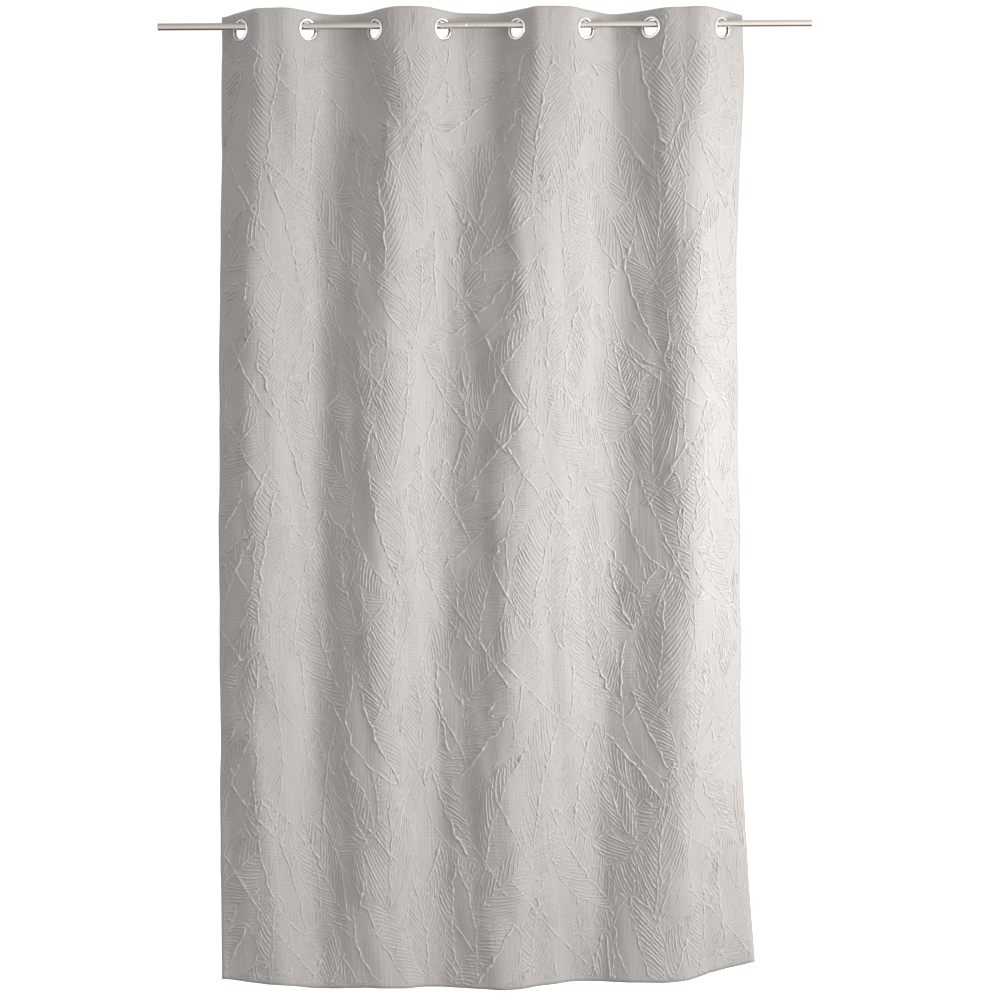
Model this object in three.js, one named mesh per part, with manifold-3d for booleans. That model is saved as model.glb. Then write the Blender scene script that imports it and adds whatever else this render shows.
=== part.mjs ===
// Eyelet curtain hanging on its rod, in millimetres.
// The origin is on the rod's axis at the middle of its length. X runs along the rod, Z is up,
// and the front of the cloth faces -Y. "Forward" below means towards the front, so y = -forward.
// "Drop" means the distance down from the rod's axis, so z = -drop.

import * as THREE from 'three';
import { mergeVertices } from 'three/addons/utils/BufferGeometryUtils.js';
import Module from 'manifold-3d';

const wasm = await Module();
wasm.setup();

// The rod: a wider tube on the left that takes a narrower tube on the right
const ROD_LENGTH = 1600;
const ROD_WIDE_RADIUS = 8.4;
const ROD_NARROW_RADIUS = 7.7;
const ROD_STEP_X = -44;
const ROD_CHAMFER = 1;
const ROD_SIDES = 32;

// The cloth
const CLOTH_THICKNESS = 2;
const CLOTH_TOP_DROP = -38.5;
const HEADER_DROP = 60;
const HEADER_FADE = 380;
const HEM_DROP = 2350;
const HEM_RISE_START = 600;
const ROW_COUNT = 23;
const CURVE_COLUMNS = 4;
const ARC_SAMPLES = 16;

// The eyelets: a front ring with a barrel through the cloth, and a washer clipped on behind
const BORE_RADIUS = 20.5;
const BARREL_RADIUS = 22.1;
const RIM_RADIUS = 27;
const HOLE_RADIUS = 22.9;
const WASHER_BORE_RADIUS = 22.7;
const SEAT_HALF_WIDTH = 29;
const GAP = 0.3;
const EYELET_SIDES = 24;

// Where the cloth crosses the rod: x of each eyelet, and the angle of the cloth there to the rod.
// The cloth comes forward through the odd eyelets and goes back through the even ones.
const EYELETS = [
  { x: -597, angle: 42 },
  { x: -433, angle: 40 },
  { x: -269, angle: 44 },
  { x: -103, angle: 41 },
  { x: 78, angle: 39 },
  { x: 247, angle: 39 },
  { x: 406, angle: 36 },
  { x: 580, angle: 42 },
];

// The drops at which the fold lines are given, in the order of the columns below
const LEVEL_DROPS = [HEADER_DROP, 600, 1284, 1895, HEM_DROP];

// The fold lines from left to right: where each runs (x), how far it stands forward of the rod's
// axis, how steeply the cloth comes forward there, and the drop of the hem below it
const FOLD_LINES = [
  {
    line: 'left edge',
    x: [-651, -654, -661, -661, -655],
    forward: [-44, -30, -25, -22, -18],
    rise: [0.8, 0.6, 0.55, 0.4, 0.1],
    hem: 2334,
  },
  {
    line: 'crest 1',
    x: [-526, -560, -557, -561, -526],
    forward: [37, 30, 28, 24, 14],
    rise: [0, 0, 0, 0, 0],
    hem: 2338,
  },
  {
    line: 'valley 1',
    x: [-370, -398, -414, -420, -412],
    forward: [-37, -34, -30, -26, -14],
    rise: [0, 0, 0, 0, 0],
    hem: 2356,
  },
  {
    line: 'crest 2',
    x: [-201, -234, -262, -276, -274],
    forward: [42, 38, 34, 30, 22],
    rise: [0, 0, 0, 0, 0],
    hem: 2349,
  },
  {
    line: 'valley 2',
    x: [-37, -83, -106, -130, -122],
    forward: [-35, -32, -30, -26, -20],
    rise: [0, 0, 0, 0, 0],
    hem: 2354,
  },
  {
    line: 'crest 3',
    x: [136, 106, 70, 50, 28],
    forward: [38, 40, 38, 36, 28],
    rise: [0, 0, 0, 0, 0],
    hem: 2350,
  },
  {
    line: 'valley 3',
    x: [316, 329, 315, 277, 227],
    forward: [-41, -40, -38, -34, -28],
    rise: [0, 0, 0, 0, 0],
    hem: 2343,
  },
  {
    line: 'crest 4',
    x: [477, 490, 469, 453, 417],
    forward: [31, 30, 30, 28, 26],
    rise: [0, 0, 0, 0, 0],
    hem: 2336,
  },
  {
    line: 'right edge',
    x: [637, 617, 621, 626, 651],
    forward: [-50, -48, -50, -45, -30],
    rise: [-0.8, -0.8, -0.8, -0.5, 0.15],
    hem: 2302,
  },
];

const clothMaterial = new THREE.MeshStandardMaterial({ color: 0xc6c2bb, roughness: 0.95, metalness: 0 });
const rodMaterial = new THREE.MeshStandardMaterial({ color: 0xb9b0a8, roughness: 0.35, metalness: 1 });
const eyeletMaterial = new THREE.MeshStandardMaterial({ color: 0xdcd6d2, roughness: 0.2, metalness: 1 });

// A step from 0 to 1 with level ends
function smoothStep(t) {
  const clamped = Math.min(Math.max(t, 0), 1);
  return clamped * clamped * (3 - 2 * clamped);
}

function mix(from, to, share) {
  return from + (to - from) * share;
}

// The cubic between two knots, each with a place, a value and a slope
function cubicBetween(start, end, place) {
  const span = end.place - start.place;
  const t = (place - start.place) / span;
  const t2 = t * t;
  const t3 = t2 * t;
  return (
    start.value * (2 * t3 - 3 * t2 + 1) +
    start.slope * span * (t3 - 2 * t2 + t) +
    end.value * (3 * t2 - 2 * t3) +
    end.slope * span * (t3 - t2)
  );
}

// A column of the fold table read at any drop: constant down to the first level, smooth below it
function atDrop(column, drop) {
  const last = LEVEL_DROPS.length - 1;
  const place = Math.min(Math.max(drop, LEVEL_DROPS[0]), LEVEL_DROPS[last]);
  let level = 0;
  while (level < last - 1 && place > LEVEL_DROPS[level + 1]) level += 1;
  const knot = (index) => {
    const before = Math.max(index - 1, 0);
    const after = Math.min(index + 1, last);
    const slope = (column[after] - column[before]) / (LEVEL_DROPS[after] - LEVEL_DROPS[before]);
    return { place: LEVEL_DROPS[index], value: column[index], slope: index === 0 ? 0 : slope };
  };
  return cubicBetween(knot(level), knot(level + 1), place);
}

// +1 where the cloth comes forward from left to right, -1 where it goes back
function foldSign(span) {
  return span % 2 === 0 ? 1 : -1;
}

function eyeletSlope(span) {
  return foldSign(span) * Math.tan(THREE.MathUtils.degToRad(EYELETS[span].angle));
}

// The knots of the level curve that the cloth follows at one drop: the fold lines, and between
// each two of them the ends of the flat seat of an eyelet, which fades out below the header
function rowKnots(drop) {
  const fade = smoothStep((drop - HEADER_DROP) / HEADER_FADE);
  const lines = FOLD_LINES.map((fold) => ({
    place: atDrop(fold.x, drop),
    value: atDrop(fold.forward, drop),
    slope: atDrop(fold.rise, drop),
  }));
  const knots = [lines[0]];
  for (let span = 0; span < EYELETS.length; span += 1) {
    const start = lines[span];
    const end = lines[span + 1];
    const width = end.place - start.place;
    const freeSlope = (1.5 * (end.value - start.value)) / width - (start.slope + end.slope) / 4;
    const freeValue = (start.value + end.value) / 2 + ((start.slope - end.slope) * width) / 8;
    const place = mix(EYELETS[span].x, (start.place + end.place) / 2, fade);
    const value = mix(0, freeValue, fade);
    const slope = mix(eyeletSlope(span), freeSlope, fade);
    const angle = THREE.MathUtils.degToRad(EYELETS[span].angle);
    const reach = SEAT_HALF_WIDTH * Math.cos(angle) * mix(1, 0.25, fade);
    knots.push({ place: place - reach, value: value - slope * reach, slope });
    knots.push({ place: place + reach, value: value + slope * reach, slope });
    knots.push(end);
  }
  return knots;
}

// The level curve at one drop as points spaced closely, each with its distance along the cloth
function rowCurve(drop) {
  const knots = rowKnots(drop);
  const points = [{ x: knots[0].place, forward: knots[0].value, length: 0 }];
  const knotLengths = [0];
  for (let index = 1; index < knots.length; index += 1) {
    const start = knots[index - 1];
    const end = knots[index];
    for (let step = 1; step <= ARC_SAMPLES; step += 1) {
      const x = mix(start.place, end.place, step / ARC_SAMPLES);
      const forward = cubicBetween(start, end, x);
      const previous = points[points.length - 1];
      const length = previous.length + Math.hypot(x - previous.x, forward - previous.forward);
      points.push({ x, forward, length });
    }
    knotLengths.push(points[points.length - 1].length);
  }
  return { points, knotLengths, lines: knots.filter((_, index) => index % 3 === 0) };
}

// The point of a level curve at a share of the cloth's width
function pointOnRow(curve, share) {
  const { points } = curve;
  const target = share * points[points.length - 1].length;
  let low = 0;
  let high = points.length - 1;
  while (high - low > 1) {
    const middle = (low + high) >> 1;
    if (points[middle].length <= target) low = middle;
    else high = middle;
  }
  const step = points[high].length - points[low].length;
  const t = (target - points[low].length) / step;
  return { x: mix(points[low].x, points[high].x, t), forward: mix(points[low].forward, points[high].forward, t) };
}

// How far below its nominal place the hem lies at one x, from the hem column of the fold table
function hemOffset(lines, x) {
  let span = 0;
  while (span < lines.length - 2 && x > lines[span + 1].place) span += 1;
  const t = (x - lines[span].place) / (lines[span + 1].place - lines[span].place);
  return mix(FOLD_LINES[span].hem, FOLD_LINES[span + 1].hem, smoothStep(t)) - HEM_DROP;
}

// The middle surface of the cloth at a share of its width and a drop
function clothPoint(curve, share, drop) {
  const { x, forward } = pointOnRow(curve, share);
  const settle = smoothStep((drop - HEM_RISE_START) / (HEM_DROP - HEM_RISE_START));
  return new THREE.Vector3(x, -forward, -(drop + hemOffset(curve.lines, x) * settle));
}

// The cloth's shares of width at which it has columns of points: both ends of every eyelet's seat,
// and equal steps on the curves between
function columnShares() {
  const { knotLengths } = rowCurve(HEADER_DROP);
  const total = knotLengths[knotLengths.length - 1];
  const shares = [0];
  for (let index = 1; index < knotLengths.length; index += 1) {
    const onSeat = index % 3 === 2;
    const atSide = index === 1 || index === knotLengths.length - 1;
    const curveSteps = atSide ? 2 : CURVE_COLUMNS;
    const steps = onSeat ? 1 : curveSteps;
    for (let step = 1; step <= steps; step += 1) {
      shares.push(mix(knotLengths[index - 1], knotLengths[index], step / steps) / total);
    }
  }
  return shares;
}

// The drops at which the cloth has rows: the top edge, the foot of the header, and even steps
function rowDrops() {
  const drops = [CLOTH_TOP_DROP];
  for (let row = 0; row <= ROW_COUNT; row += 1) {
    drops.push(mix(HEADER_DROP, HEM_DROP, row / ROW_COUNT));
  }
  return drops;
}

// One face of the cloth as rows of points, moved off the middle surface by half the thickness
function clothFace(offset, shares, drops) {
  const nudge = 0.5;
  return drops.map((drop) => {
    const curve = rowCurve(drop);
    const above = rowCurve(drop - nudge);
    const below = rowCurve(drop + nudge);
    return shares.map((share) => {
      const left = clothPoint(curve, Math.max(share - 0.001, 0), drop);
      const right = clothPoint(curve, Math.min(share + 0.001, 1), drop);
      const up = clothPoint(above, share, drop - nudge);
      const down = clothPoint(below, share, drop + nudge);
      const along = right.sub(left);
      const across = drop <= HEADER_DROP ? new THREE.Vector3(0, 0, 1) : up.sub(down);
      const normal = along.cross(across).normalize();
      return clothPoint(curve, share, drop).addScaledVector(normal, offset);
    });
  });
}

// A closed solid from two faces of the same rows and columns, joined around their edge
function solidBetween(front, back) {
  const rows = front.length;
  const columns = front[0].length;
  const positions = [];
  for (const face of [front, back]) {
    for (const row of face) {
      for (const point of row) positions.push(point.x, point.y, point.z);
    }
  }
  const indices = [];
  const frontAt = (row, column) => row * columns + column;
  const backAt = (row, column) => rows * columns + row * columns + column;
  const quad = (a, b, c, d) => indices.push(a, b, c, a, c, d);
  for (let row = 0; row < rows - 1; row += 1) {
    for (let column = 0; column < columns - 1; column += 1) {
      const next = column + 1;
      quad(frontAt(row, column), frontAt(row + 1, column), frontAt(row + 1, next), frontAt(row, next));
      quad(backAt(row, column), backAt(row, next), backAt(row + 1, next), backAt(row + 1, column));
    }
    const end = columns - 1;
    quad(frontAt(row, 0), backAt(row, 0), backAt(row + 1, 0), frontAt(row + 1, 0));
    quad(frontAt(row, end), frontAt(row + 1, end), backAt(row + 1, end), backAt(row, end));
  }
  for (let column = 0; column < columns - 1; column += 1) {
    const next = column + 1;
    const foot = rows - 1;
    quad(frontAt(0, column), frontAt(0, next), backAt(0, next), backAt(0, column));
    quad(frontAt(foot, column), backAt(foot, column), backAt(foot, next), frontAt(foot, next));
  }
  const geometry = new THREE.BufferGeometry();
  geometry.setAttribute('position', new THREE.Float32BufferAttribute(positions, 3));
  geometry.setIndex(indices);
  return geometry;
}

function toManifold(geometry) {
  const bare = geometry.clone();
  bare.deleteAttribute('normal');
  bare.deleteAttribute('uv');
  const merged = mergeVertices(bare, 1e-4);
  const mesh = new wasm.Mesh({
    numProp: 3,
    vertProperties: Float32Array.from(merged.attributes.position.array),
    triVerts: Uint32Array.from(merged.index.array),
  });
  return new wasm.Manifold(mesh);
}

function toGeometry(manifold) {
  const mesh = manifold.getMesh();
  const geometry = new THREE.BufferGeometry();
  geometry.setAttribute('position', new THREE.BufferAttribute(Float32Array.from(mesh.vertProperties), 3));
  geometry.setIndex(new THREE.BufferAttribute(Uint32Array.from(mesh.triVerts), 1));
  geometry.computeVertexNormals();
  return geometry;
}

// The front ring's section as radius and height, where height runs forward from the middle of the
// cloth: a domed flange on the front, the barrel, and its end curled out over the washer
function frontRingProfile() {
  const seat = CLOTH_THICKNESS / 2 + GAP;
  const washerBack = -seat - 1.7;
  return [
    [RIM_RADIUS, seat],
    [RIM_RADIUS - 0.2, seat + 0.9],
    [RIM_RADIUS - 2, seat + 2.3],
    [BORE_RADIUS + 2.4, seat + 2.5],
    [BORE_RADIUS + 0.5, seat + 1.2],
    [BORE_RADIUS, seat - 0.6],
    [BORE_RADIUS, washerBack + 0.2],
    [BORE_RADIUS + 1, washerBack - GAP - 0.7],
    [WASHER_BORE_RADIUS + 1, washerBack - GAP - 0.6],
    [WASHER_BORE_RADIUS + 1, washerBack - GAP],
    [BARREL_RADIUS, washerBack - GAP],
    [BARREL_RADIUS, seat],
  ];
}

// The washer's section, in the same radius and height
function washerProfile() {
  const seat = -CLOTH_THICKNESS / 2 - GAP;
  return [
    [WASHER_BORE_RADIUS, seat - 1.7],
    [RIM_RADIUS - 1.6, seat - 1.7],
    [RIM_RADIUS, seat - 0.8],
    [RIM_RADIUS, seat],
    [WASHER_BORE_RADIUS, seat],
  ];
}

// A ring turned about Y from a closed section that runs counter-clockwise seen with radius to the
// right and height up
function turnedRing(profile) {
  const points = [...profile, profile[0]].map(([radius, height]) => new THREE.Vector2(radius, height));
  return new THREE.LatheGeometry(points, EYELET_SIDES);
}

// How far an eyelet's centre hangs below the rod's axis when the rod bears on the top of its bore.
// Each point of the ring's section sweeps a circle, and every point of that circle keeps the gap.
function hangDrop(angle, rodRadius) {
  const reach = rodRadius + GAP;
  const chord = Math.cos(Math.PI / EYELET_SIDES);
  const steps = 360;
  let drop = BORE_RADIUS;
  for (const [radius, height] of frontRingProfile()) {
    for (let step = 0; step <= steps; step += 1) {
      const around = (Math.PI * step) / steps;
      const out = height * Math.cos(angle) - radius * chord * Math.cos(around) * Math.sin(angle);
      if (Math.abs(out) < reach) {
        const above = radius * chord * Math.sin(around);
        drop = Math.min(drop, above - Math.sqrt(reach * reach - out * out));
      }
    }
  }
  return drop;
}

// Places an object in the eyelet's seat: its Y axis along the cloth's front normal
function seatOnCloth(object, span) {
  const { x, angle } = EYELETS[span];
  const radians = THREE.MathUtils.degToRad(angle);
  const rodRadius = x < ROD_STEP_X ? ROD_WIDE_RADIUS : ROD_NARROW_RADIUS;
  object.position.set(x, 0, -hangDrop(radians, rodRadius));
  object.rotation.z = Math.PI - foldSign(span) * radians;
  object.updateMatrix();
}

// The cloth: the folded sheet with a round hole cut for every eyelet
function buildCloth() {
  const shares = columnShares();
  const drops = rowDrops();
  const half = CLOTH_THICKNESS / 2;
  let solid = toManifold(solidBetween(clothFace(half, shares, drops), clothFace(-half, shares, drops)));
  for (let span = 0; span < EYELETS.length; span += 1) {
    const punch = new THREE.Object3D();
    seatOnCloth(punch, span);
    const plug = new THREE.CylinderGeometry(HOLE_RADIUS, HOLE_RADIUS, 5 * CLOTH_THICKNESS, EYELET_SIDES);
    plug.applyMatrix4(punch.matrix);
    solid = solid.subtract(toManifold(plug));
  }
  return new THREE.Mesh(toGeometry(solid), clothMaterial);
}

// The rod: one turned solid with the step from the wide tube to the narrow one
function buildRod() {
  const half = ROD_LENGTH / 2;
  const profile = [
    [0, -half],
    [ROD_WIDE_RADIUS - ROD_CHAMFER, -half],
    [ROD_WIDE_RADIUS, -half + ROD_CHAMFER],
    [ROD_WIDE_RADIUS, ROD_STEP_X],
    [ROD_NARROW_RADIUS, ROD_STEP_X],
    [ROD_NARROW_RADIUS, half - ROD_CHAMFER],
    [ROD_NARROW_RADIUS - ROD_CHAMFER, half],
    [0, half],
  ].map(([radius, height]) => new THREE.Vector2(radius, height));
  const rod = new THREE.Mesh(new THREE.LatheGeometry(profile, ROD_SIDES), rodMaterial);
  rod.rotation.z = -Math.PI / 2;
  return rod;
}

const group = new THREE.Group();

const cloth = buildCloth();
cloth.name = 'curtain_panel';
group.add(cloth);

const rod = buildRod();
rod.name = 'curtain_rod';
group.add(rod);

for (let span = 0; span < EYELETS.length; span += 1) {
  const front = new THREE.Mesh(turnedRing(frontRingProfile()), eyeletMaterial);
  front.name = `eyelet_front_${span + 1}`;
  const back = new THREE.Mesh(turnedRing(washerProfile()), eyeletMaterial);
  back.name = `eyelet_back_${span + 1}`;
  for (const ring of [front, back]) {
    seatOnCloth(ring, span);
    group.add(ring);
  }
}

export default group;
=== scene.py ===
"""Looks of an eyelet curtain that hangs on its rod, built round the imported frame.

Metres throughout. X runs along the rod, Z is up and the front of the cloth faces -Y. "Forward" means
towards the front, so y = -forward. "Drop" is the distance below the rod's axis, so z = -drop. A place
on the flat cloth is given by s, the distance from its left edge, and v, the distance from its top edge.
"""

from __future__ import annotations

import logging
import math
from dataclasses import dataclass, field, replace
from enum import Enum
from functools import cached_property, reduce
from typing import Iterable, Sequence

import bpy
import numpy as np
from mathutils import Matrix, Vector


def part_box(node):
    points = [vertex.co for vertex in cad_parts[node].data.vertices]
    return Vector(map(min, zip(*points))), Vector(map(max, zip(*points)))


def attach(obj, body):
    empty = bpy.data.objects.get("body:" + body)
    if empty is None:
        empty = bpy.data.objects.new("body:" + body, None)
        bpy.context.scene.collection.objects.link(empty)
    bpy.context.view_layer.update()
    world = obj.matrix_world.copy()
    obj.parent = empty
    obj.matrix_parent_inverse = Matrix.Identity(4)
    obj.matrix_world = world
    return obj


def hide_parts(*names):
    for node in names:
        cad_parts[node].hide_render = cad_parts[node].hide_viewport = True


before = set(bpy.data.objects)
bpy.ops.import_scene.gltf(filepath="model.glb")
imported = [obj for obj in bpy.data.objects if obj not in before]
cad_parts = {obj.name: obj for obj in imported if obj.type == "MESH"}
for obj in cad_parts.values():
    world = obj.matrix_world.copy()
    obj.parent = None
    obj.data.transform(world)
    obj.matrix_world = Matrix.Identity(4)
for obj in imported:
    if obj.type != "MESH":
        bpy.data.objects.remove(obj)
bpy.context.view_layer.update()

LOG = logging.getLogger("curtain")
ROOT = "root"

CLOTH_WIDTH = 1.40
CLOTH_THICKNESS = 0.002
CORD_SINK = 0.0002
TOP_DROP = -0.0385
HEADER_DROP = 0.060
HEADER_FADE = 0.380
HEM_DROP = 2.350
HEM_RISE_START = 0.600
HEAD_DEPTH = 0.030
FREE_EDGE_EASE = 1.45
CLOTH_LENGTH = HEM_DROP - TOP_DROP
SEAT_HALF_WIDTH = 0.029
BODY_SEAT_SHARE = 0.25
LEVEL_DROPS = (HEADER_DROP, 0.600, 1.284, 1.895, HEM_DROP)
ARC_SAMPLES = 16


def smooth_step(t: np.ndarray | float) -> np.ndarray | float:
    """A step from 0 to 1 with level ends."""
    held = np.clip(t, 0.0, 1.0)
    return held * held * (3.0 - 2.0 * held)


def mix(start: float, end: float, share: float) -> float:
    """The value that lies at a share of the way from start to end."""
    return start + (end - start) * share


@dataclass(frozen=True)
class FoldLine:
    """A crest, valley or free edge that runs down the cloth, read at the five level drops.

    The dip is how far the top edge sags there below the highest it could reach, and the hem is its drop.
    """

    x: Sequence[float]
    forward: Sequence[float]
    dip: float
    hem: float
    rise: Sequence[float] = (0.0, 0.0, 0.0, 0.0, 0.0)


@dataclass(frozen=True)
class EyeletPlace:
    """Where the cloth crosses the rod, and the angle in degrees of the cloth there to the rod."""

    x: float
    angle: float


# The left edge, four crests with valleys between them, and the right edge
FOLD_LINES = (
    FoldLine((-0.651, -0.654, -0.661, -0.661, -0.660),
             (-0.044, -0.030, -0.025, -0.022, -0.018), 0.004, 2.334, (0.8, 0.6, 0.55, 0.4, 0.1)),
    FoldLine((-0.526, -0.560, -0.557, -0.561, -0.526),
             (0.037, 0.030, 0.028, 0.024, 0.014), 0.0035, 2.341),
    FoldLine((-0.370, -0.398, -0.414, -0.420, -0.412),
             (-0.037, -0.034, -0.030, -0.026, -0.014), 0.001, 2.357),
    FoldLine((-0.201, -0.234, -0.262, -0.276, -0.274),
             (0.042, 0.038, 0.034, 0.030, 0.022), 0.002, 2.349),
    FoldLine((-0.037, -0.083, -0.106, -0.130, -0.122),
             (-0.035, -0.032, -0.030, -0.026, -0.020), 0.001, 2.357),
    FoldLine((0.136, 0.106, 0.070, 0.050, 0.028),
             (0.038, 0.040, 0.038, 0.036, 0.028), 0.003, 2.3535),
    FoldLine((0.316, 0.321, 0.306, 0.270, 0.223),
             (-0.041, -0.040, -0.038, -0.034, -0.028), 0.002, 2.3475),
    FoldLine((0.477, 0.503, 0.489, 0.459, 0.417),
             (0.031, 0.033, 0.034, 0.033, 0.027), 0.005, 2.339),
    FoldLine((0.637, 0.617, 0.621, 0.626, 0.651),
             (-0.050, -0.051, -0.054, -0.050, -0.032), 0.0055, 2.303, (-0.8, -0.7, -0.7, -0.5, 0.15)),
)

EYELETS = (
    EyeletPlace(-0.597, 42.0),
    EyeletPlace(-0.433, 40.0),
    EyeletPlace(-0.269, 44.0),
    EyeletPlace(-0.103, 41.0),
    EyeletPlace(0.078, 39.0),
    EyeletPlace(0.247, 39.0),
    EyeletPlace(0.406, 36.0),
    EyeletPlace(0.580, 42.0),
)


def fold_sign(span: int) -> int:
    """1 where the cloth comes forward from left to right between two fold lines, -1 where it goes back."""
    return 1 if span % 2 == 0 else -1


def eyelet_height(number: int) -> float:
    """The height of an eyelet's centre in the frame."""
    low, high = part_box(f"eyelet_front_{number}")
    return (low[2] + high[2]) / 2


LEAF_REACH = 0.52
LEAF_SKEW = 0.82
LEAF_FULLNESS = 0.72


class LeafGround(Enum):
    """What fills one half of a leaf of the raised pattern."""

    VEINED = "veined"
    WAFFLE = "waffle"
    PLAIN = "plain"


@dataclass(frozen=True)
class Leaf:
    """One leaf of the raised pattern on the flat cloth.

    The midrib is an arc of a circle from the base to the tip. The lean is its mean heading in degrees,
    0 pointing up the cloth and 90 pointing right, and the bend is how far the heading turns on the way.
    The outline of a traced leaf also shows through the leaves that lie over it, on its right side.
    """

    base: tuple[float, float]
    length: float
    width: float
    lean: float
    bend: float
    left: LeafGround = LeafGround.VEINED
    right: LeafGround = LeafGround.VEINED
    vein_angle: float = 42.0
    spacing: float = 0.0093
    traced: bool = False

    def ground(self, side: float) -> LeafGround:
        """What fills the half to the left (-1) or to the right (1) of the midrib."""
        return self.left if side < 0.0 else self.right

    @cached_property
    def turn(self) -> float:
        """The bend in radians."""
        return math.radians(self.bend)

    @cached_property
    def radius(self) -> float:
        """The midrib's radius, negative where it turns left."""
        return self.length / self.turn

    @cached_property
    def middle(self) -> np.ndarray:
        """The place half way along the midrib."""
        return self.point(0.5, 0.0)

    @cached_property
    def centre(self) -> np.ndarray:
        """The centre of the midrib's circle."""
        start = math.radians(self.lean) - self.turn / 2
        return np.array(self.base) + self.radius * np.array((math.cos(start), math.sin(start)))

    def moved(self, offset: Sequence[float], turn: float, size: float) -> "Leaf":
        """The same leaf in another repeat of the pattern.

        Args:
            offset: how far it moves across and down the cloth.
            turn: how much further it leans, in degrees.
            size: what multiplies its length and width.

        Returns:
            The moved leaf.
        """
        base = (self.base[0] + offset[0], self.base[1] + offset[1])
        return replace(self, base=base, lean=self.lean + turn,
                       length=self.length * size, width=self.width * size)

    def point(self, along: np.ndarray, side: np.ndarray) -> np.ndarray:
        """Places on the flat cloth from places in the leaf.

        Args:
            along: shares of the midrib's length from the base.
            side: distances to the right of the midrib, seen looking towards the tip.

        Returns:
            An array of (s, v) pairs.
        """
        heading = math.radians(self.lean) + self.turn * (np.asarray(along) - 0.5)
        arm = self.radius - np.asarray(side)
        return self.centre - np.stack((arm * np.cos(heading), arm * np.sin(heading)), axis=-1)

    def local(self, places: np.ndarray) -> tuple[np.ndarray, np.ndarray]:
        """The reverse of point: the share along the midrib and the distance to its side.

        Args:
            places: an array of (s, v) pairs.

        Returns:
            Two arrays, along and side.
        """
        sign = math.copysign(1.0, self.turn)
        arm = places - self.centre
        heading = np.arctan2(-sign * arm[..., 1], -sign * arm[..., 0])
        turned = (heading - math.radians(self.lean) + math.pi) % (2 * math.pi) - math.pi
        return turned / self.turn + 0.5, self.radius - sign * np.hypot(arm[..., 0], arm[..., 1])

    def half_width(self, along: np.ndarray) -> np.ndarray:
        """The distance from the midrib to the outline at shares of the length, 0 outside the leaf.

        Args:
            along: shares of the midrib's length from the base.

        Returns:
            The distances.
        """
        share = np.clip(along, 0.0, 1.0)
        return 0.5 * self.width * np.sin(math.pi * share ** LEAF_SKEW) ** LEAF_FULLNESS

    def near(self, places: np.ndarray) -> np.ndarray:
        """Which places are close enough to the leaf's middle to lie in it."""
        away = places - self.middle
        return away[..., 0] ** 2 + away[..., 1] ** 2 < (LEAF_REACH * self.length) ** 2

    def crown(self, places: np.ndarray) -> np.ndarray:
        """How far across the leaf each place lies: 0 on the midrib, 1 on the outline, and -1 outside it.

        Args:
            places: an array of (s, v) pairs.

        Returns:
            The shares, one for each place.
        """
        along, side = self.local(places)
        half = self.half_width(along)
        inside = (along > 0.0) & (along < 1.0) & (np.abs(side) < half)
        return np.where(inside, np.abs(side) / np.maximum(half, 1e-6), -1.0)

    def holds(self, places: np.ndarray) -> np.ndarray:
        """Whether each place lies inside the leaf's outline.

        Args:
            places: an array of (s, v) pairs.

        Returns:
            True for each place inside.
        """
        inside = self.near(places)
        inside[inside] = self.crown(places[inside]) >= 0.0
        return inside


VEINED, WAFFLE, PLAIN = LeafGround.VEINED, LeafGround.WAFFLE, LeafGround.PLAIN

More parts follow.
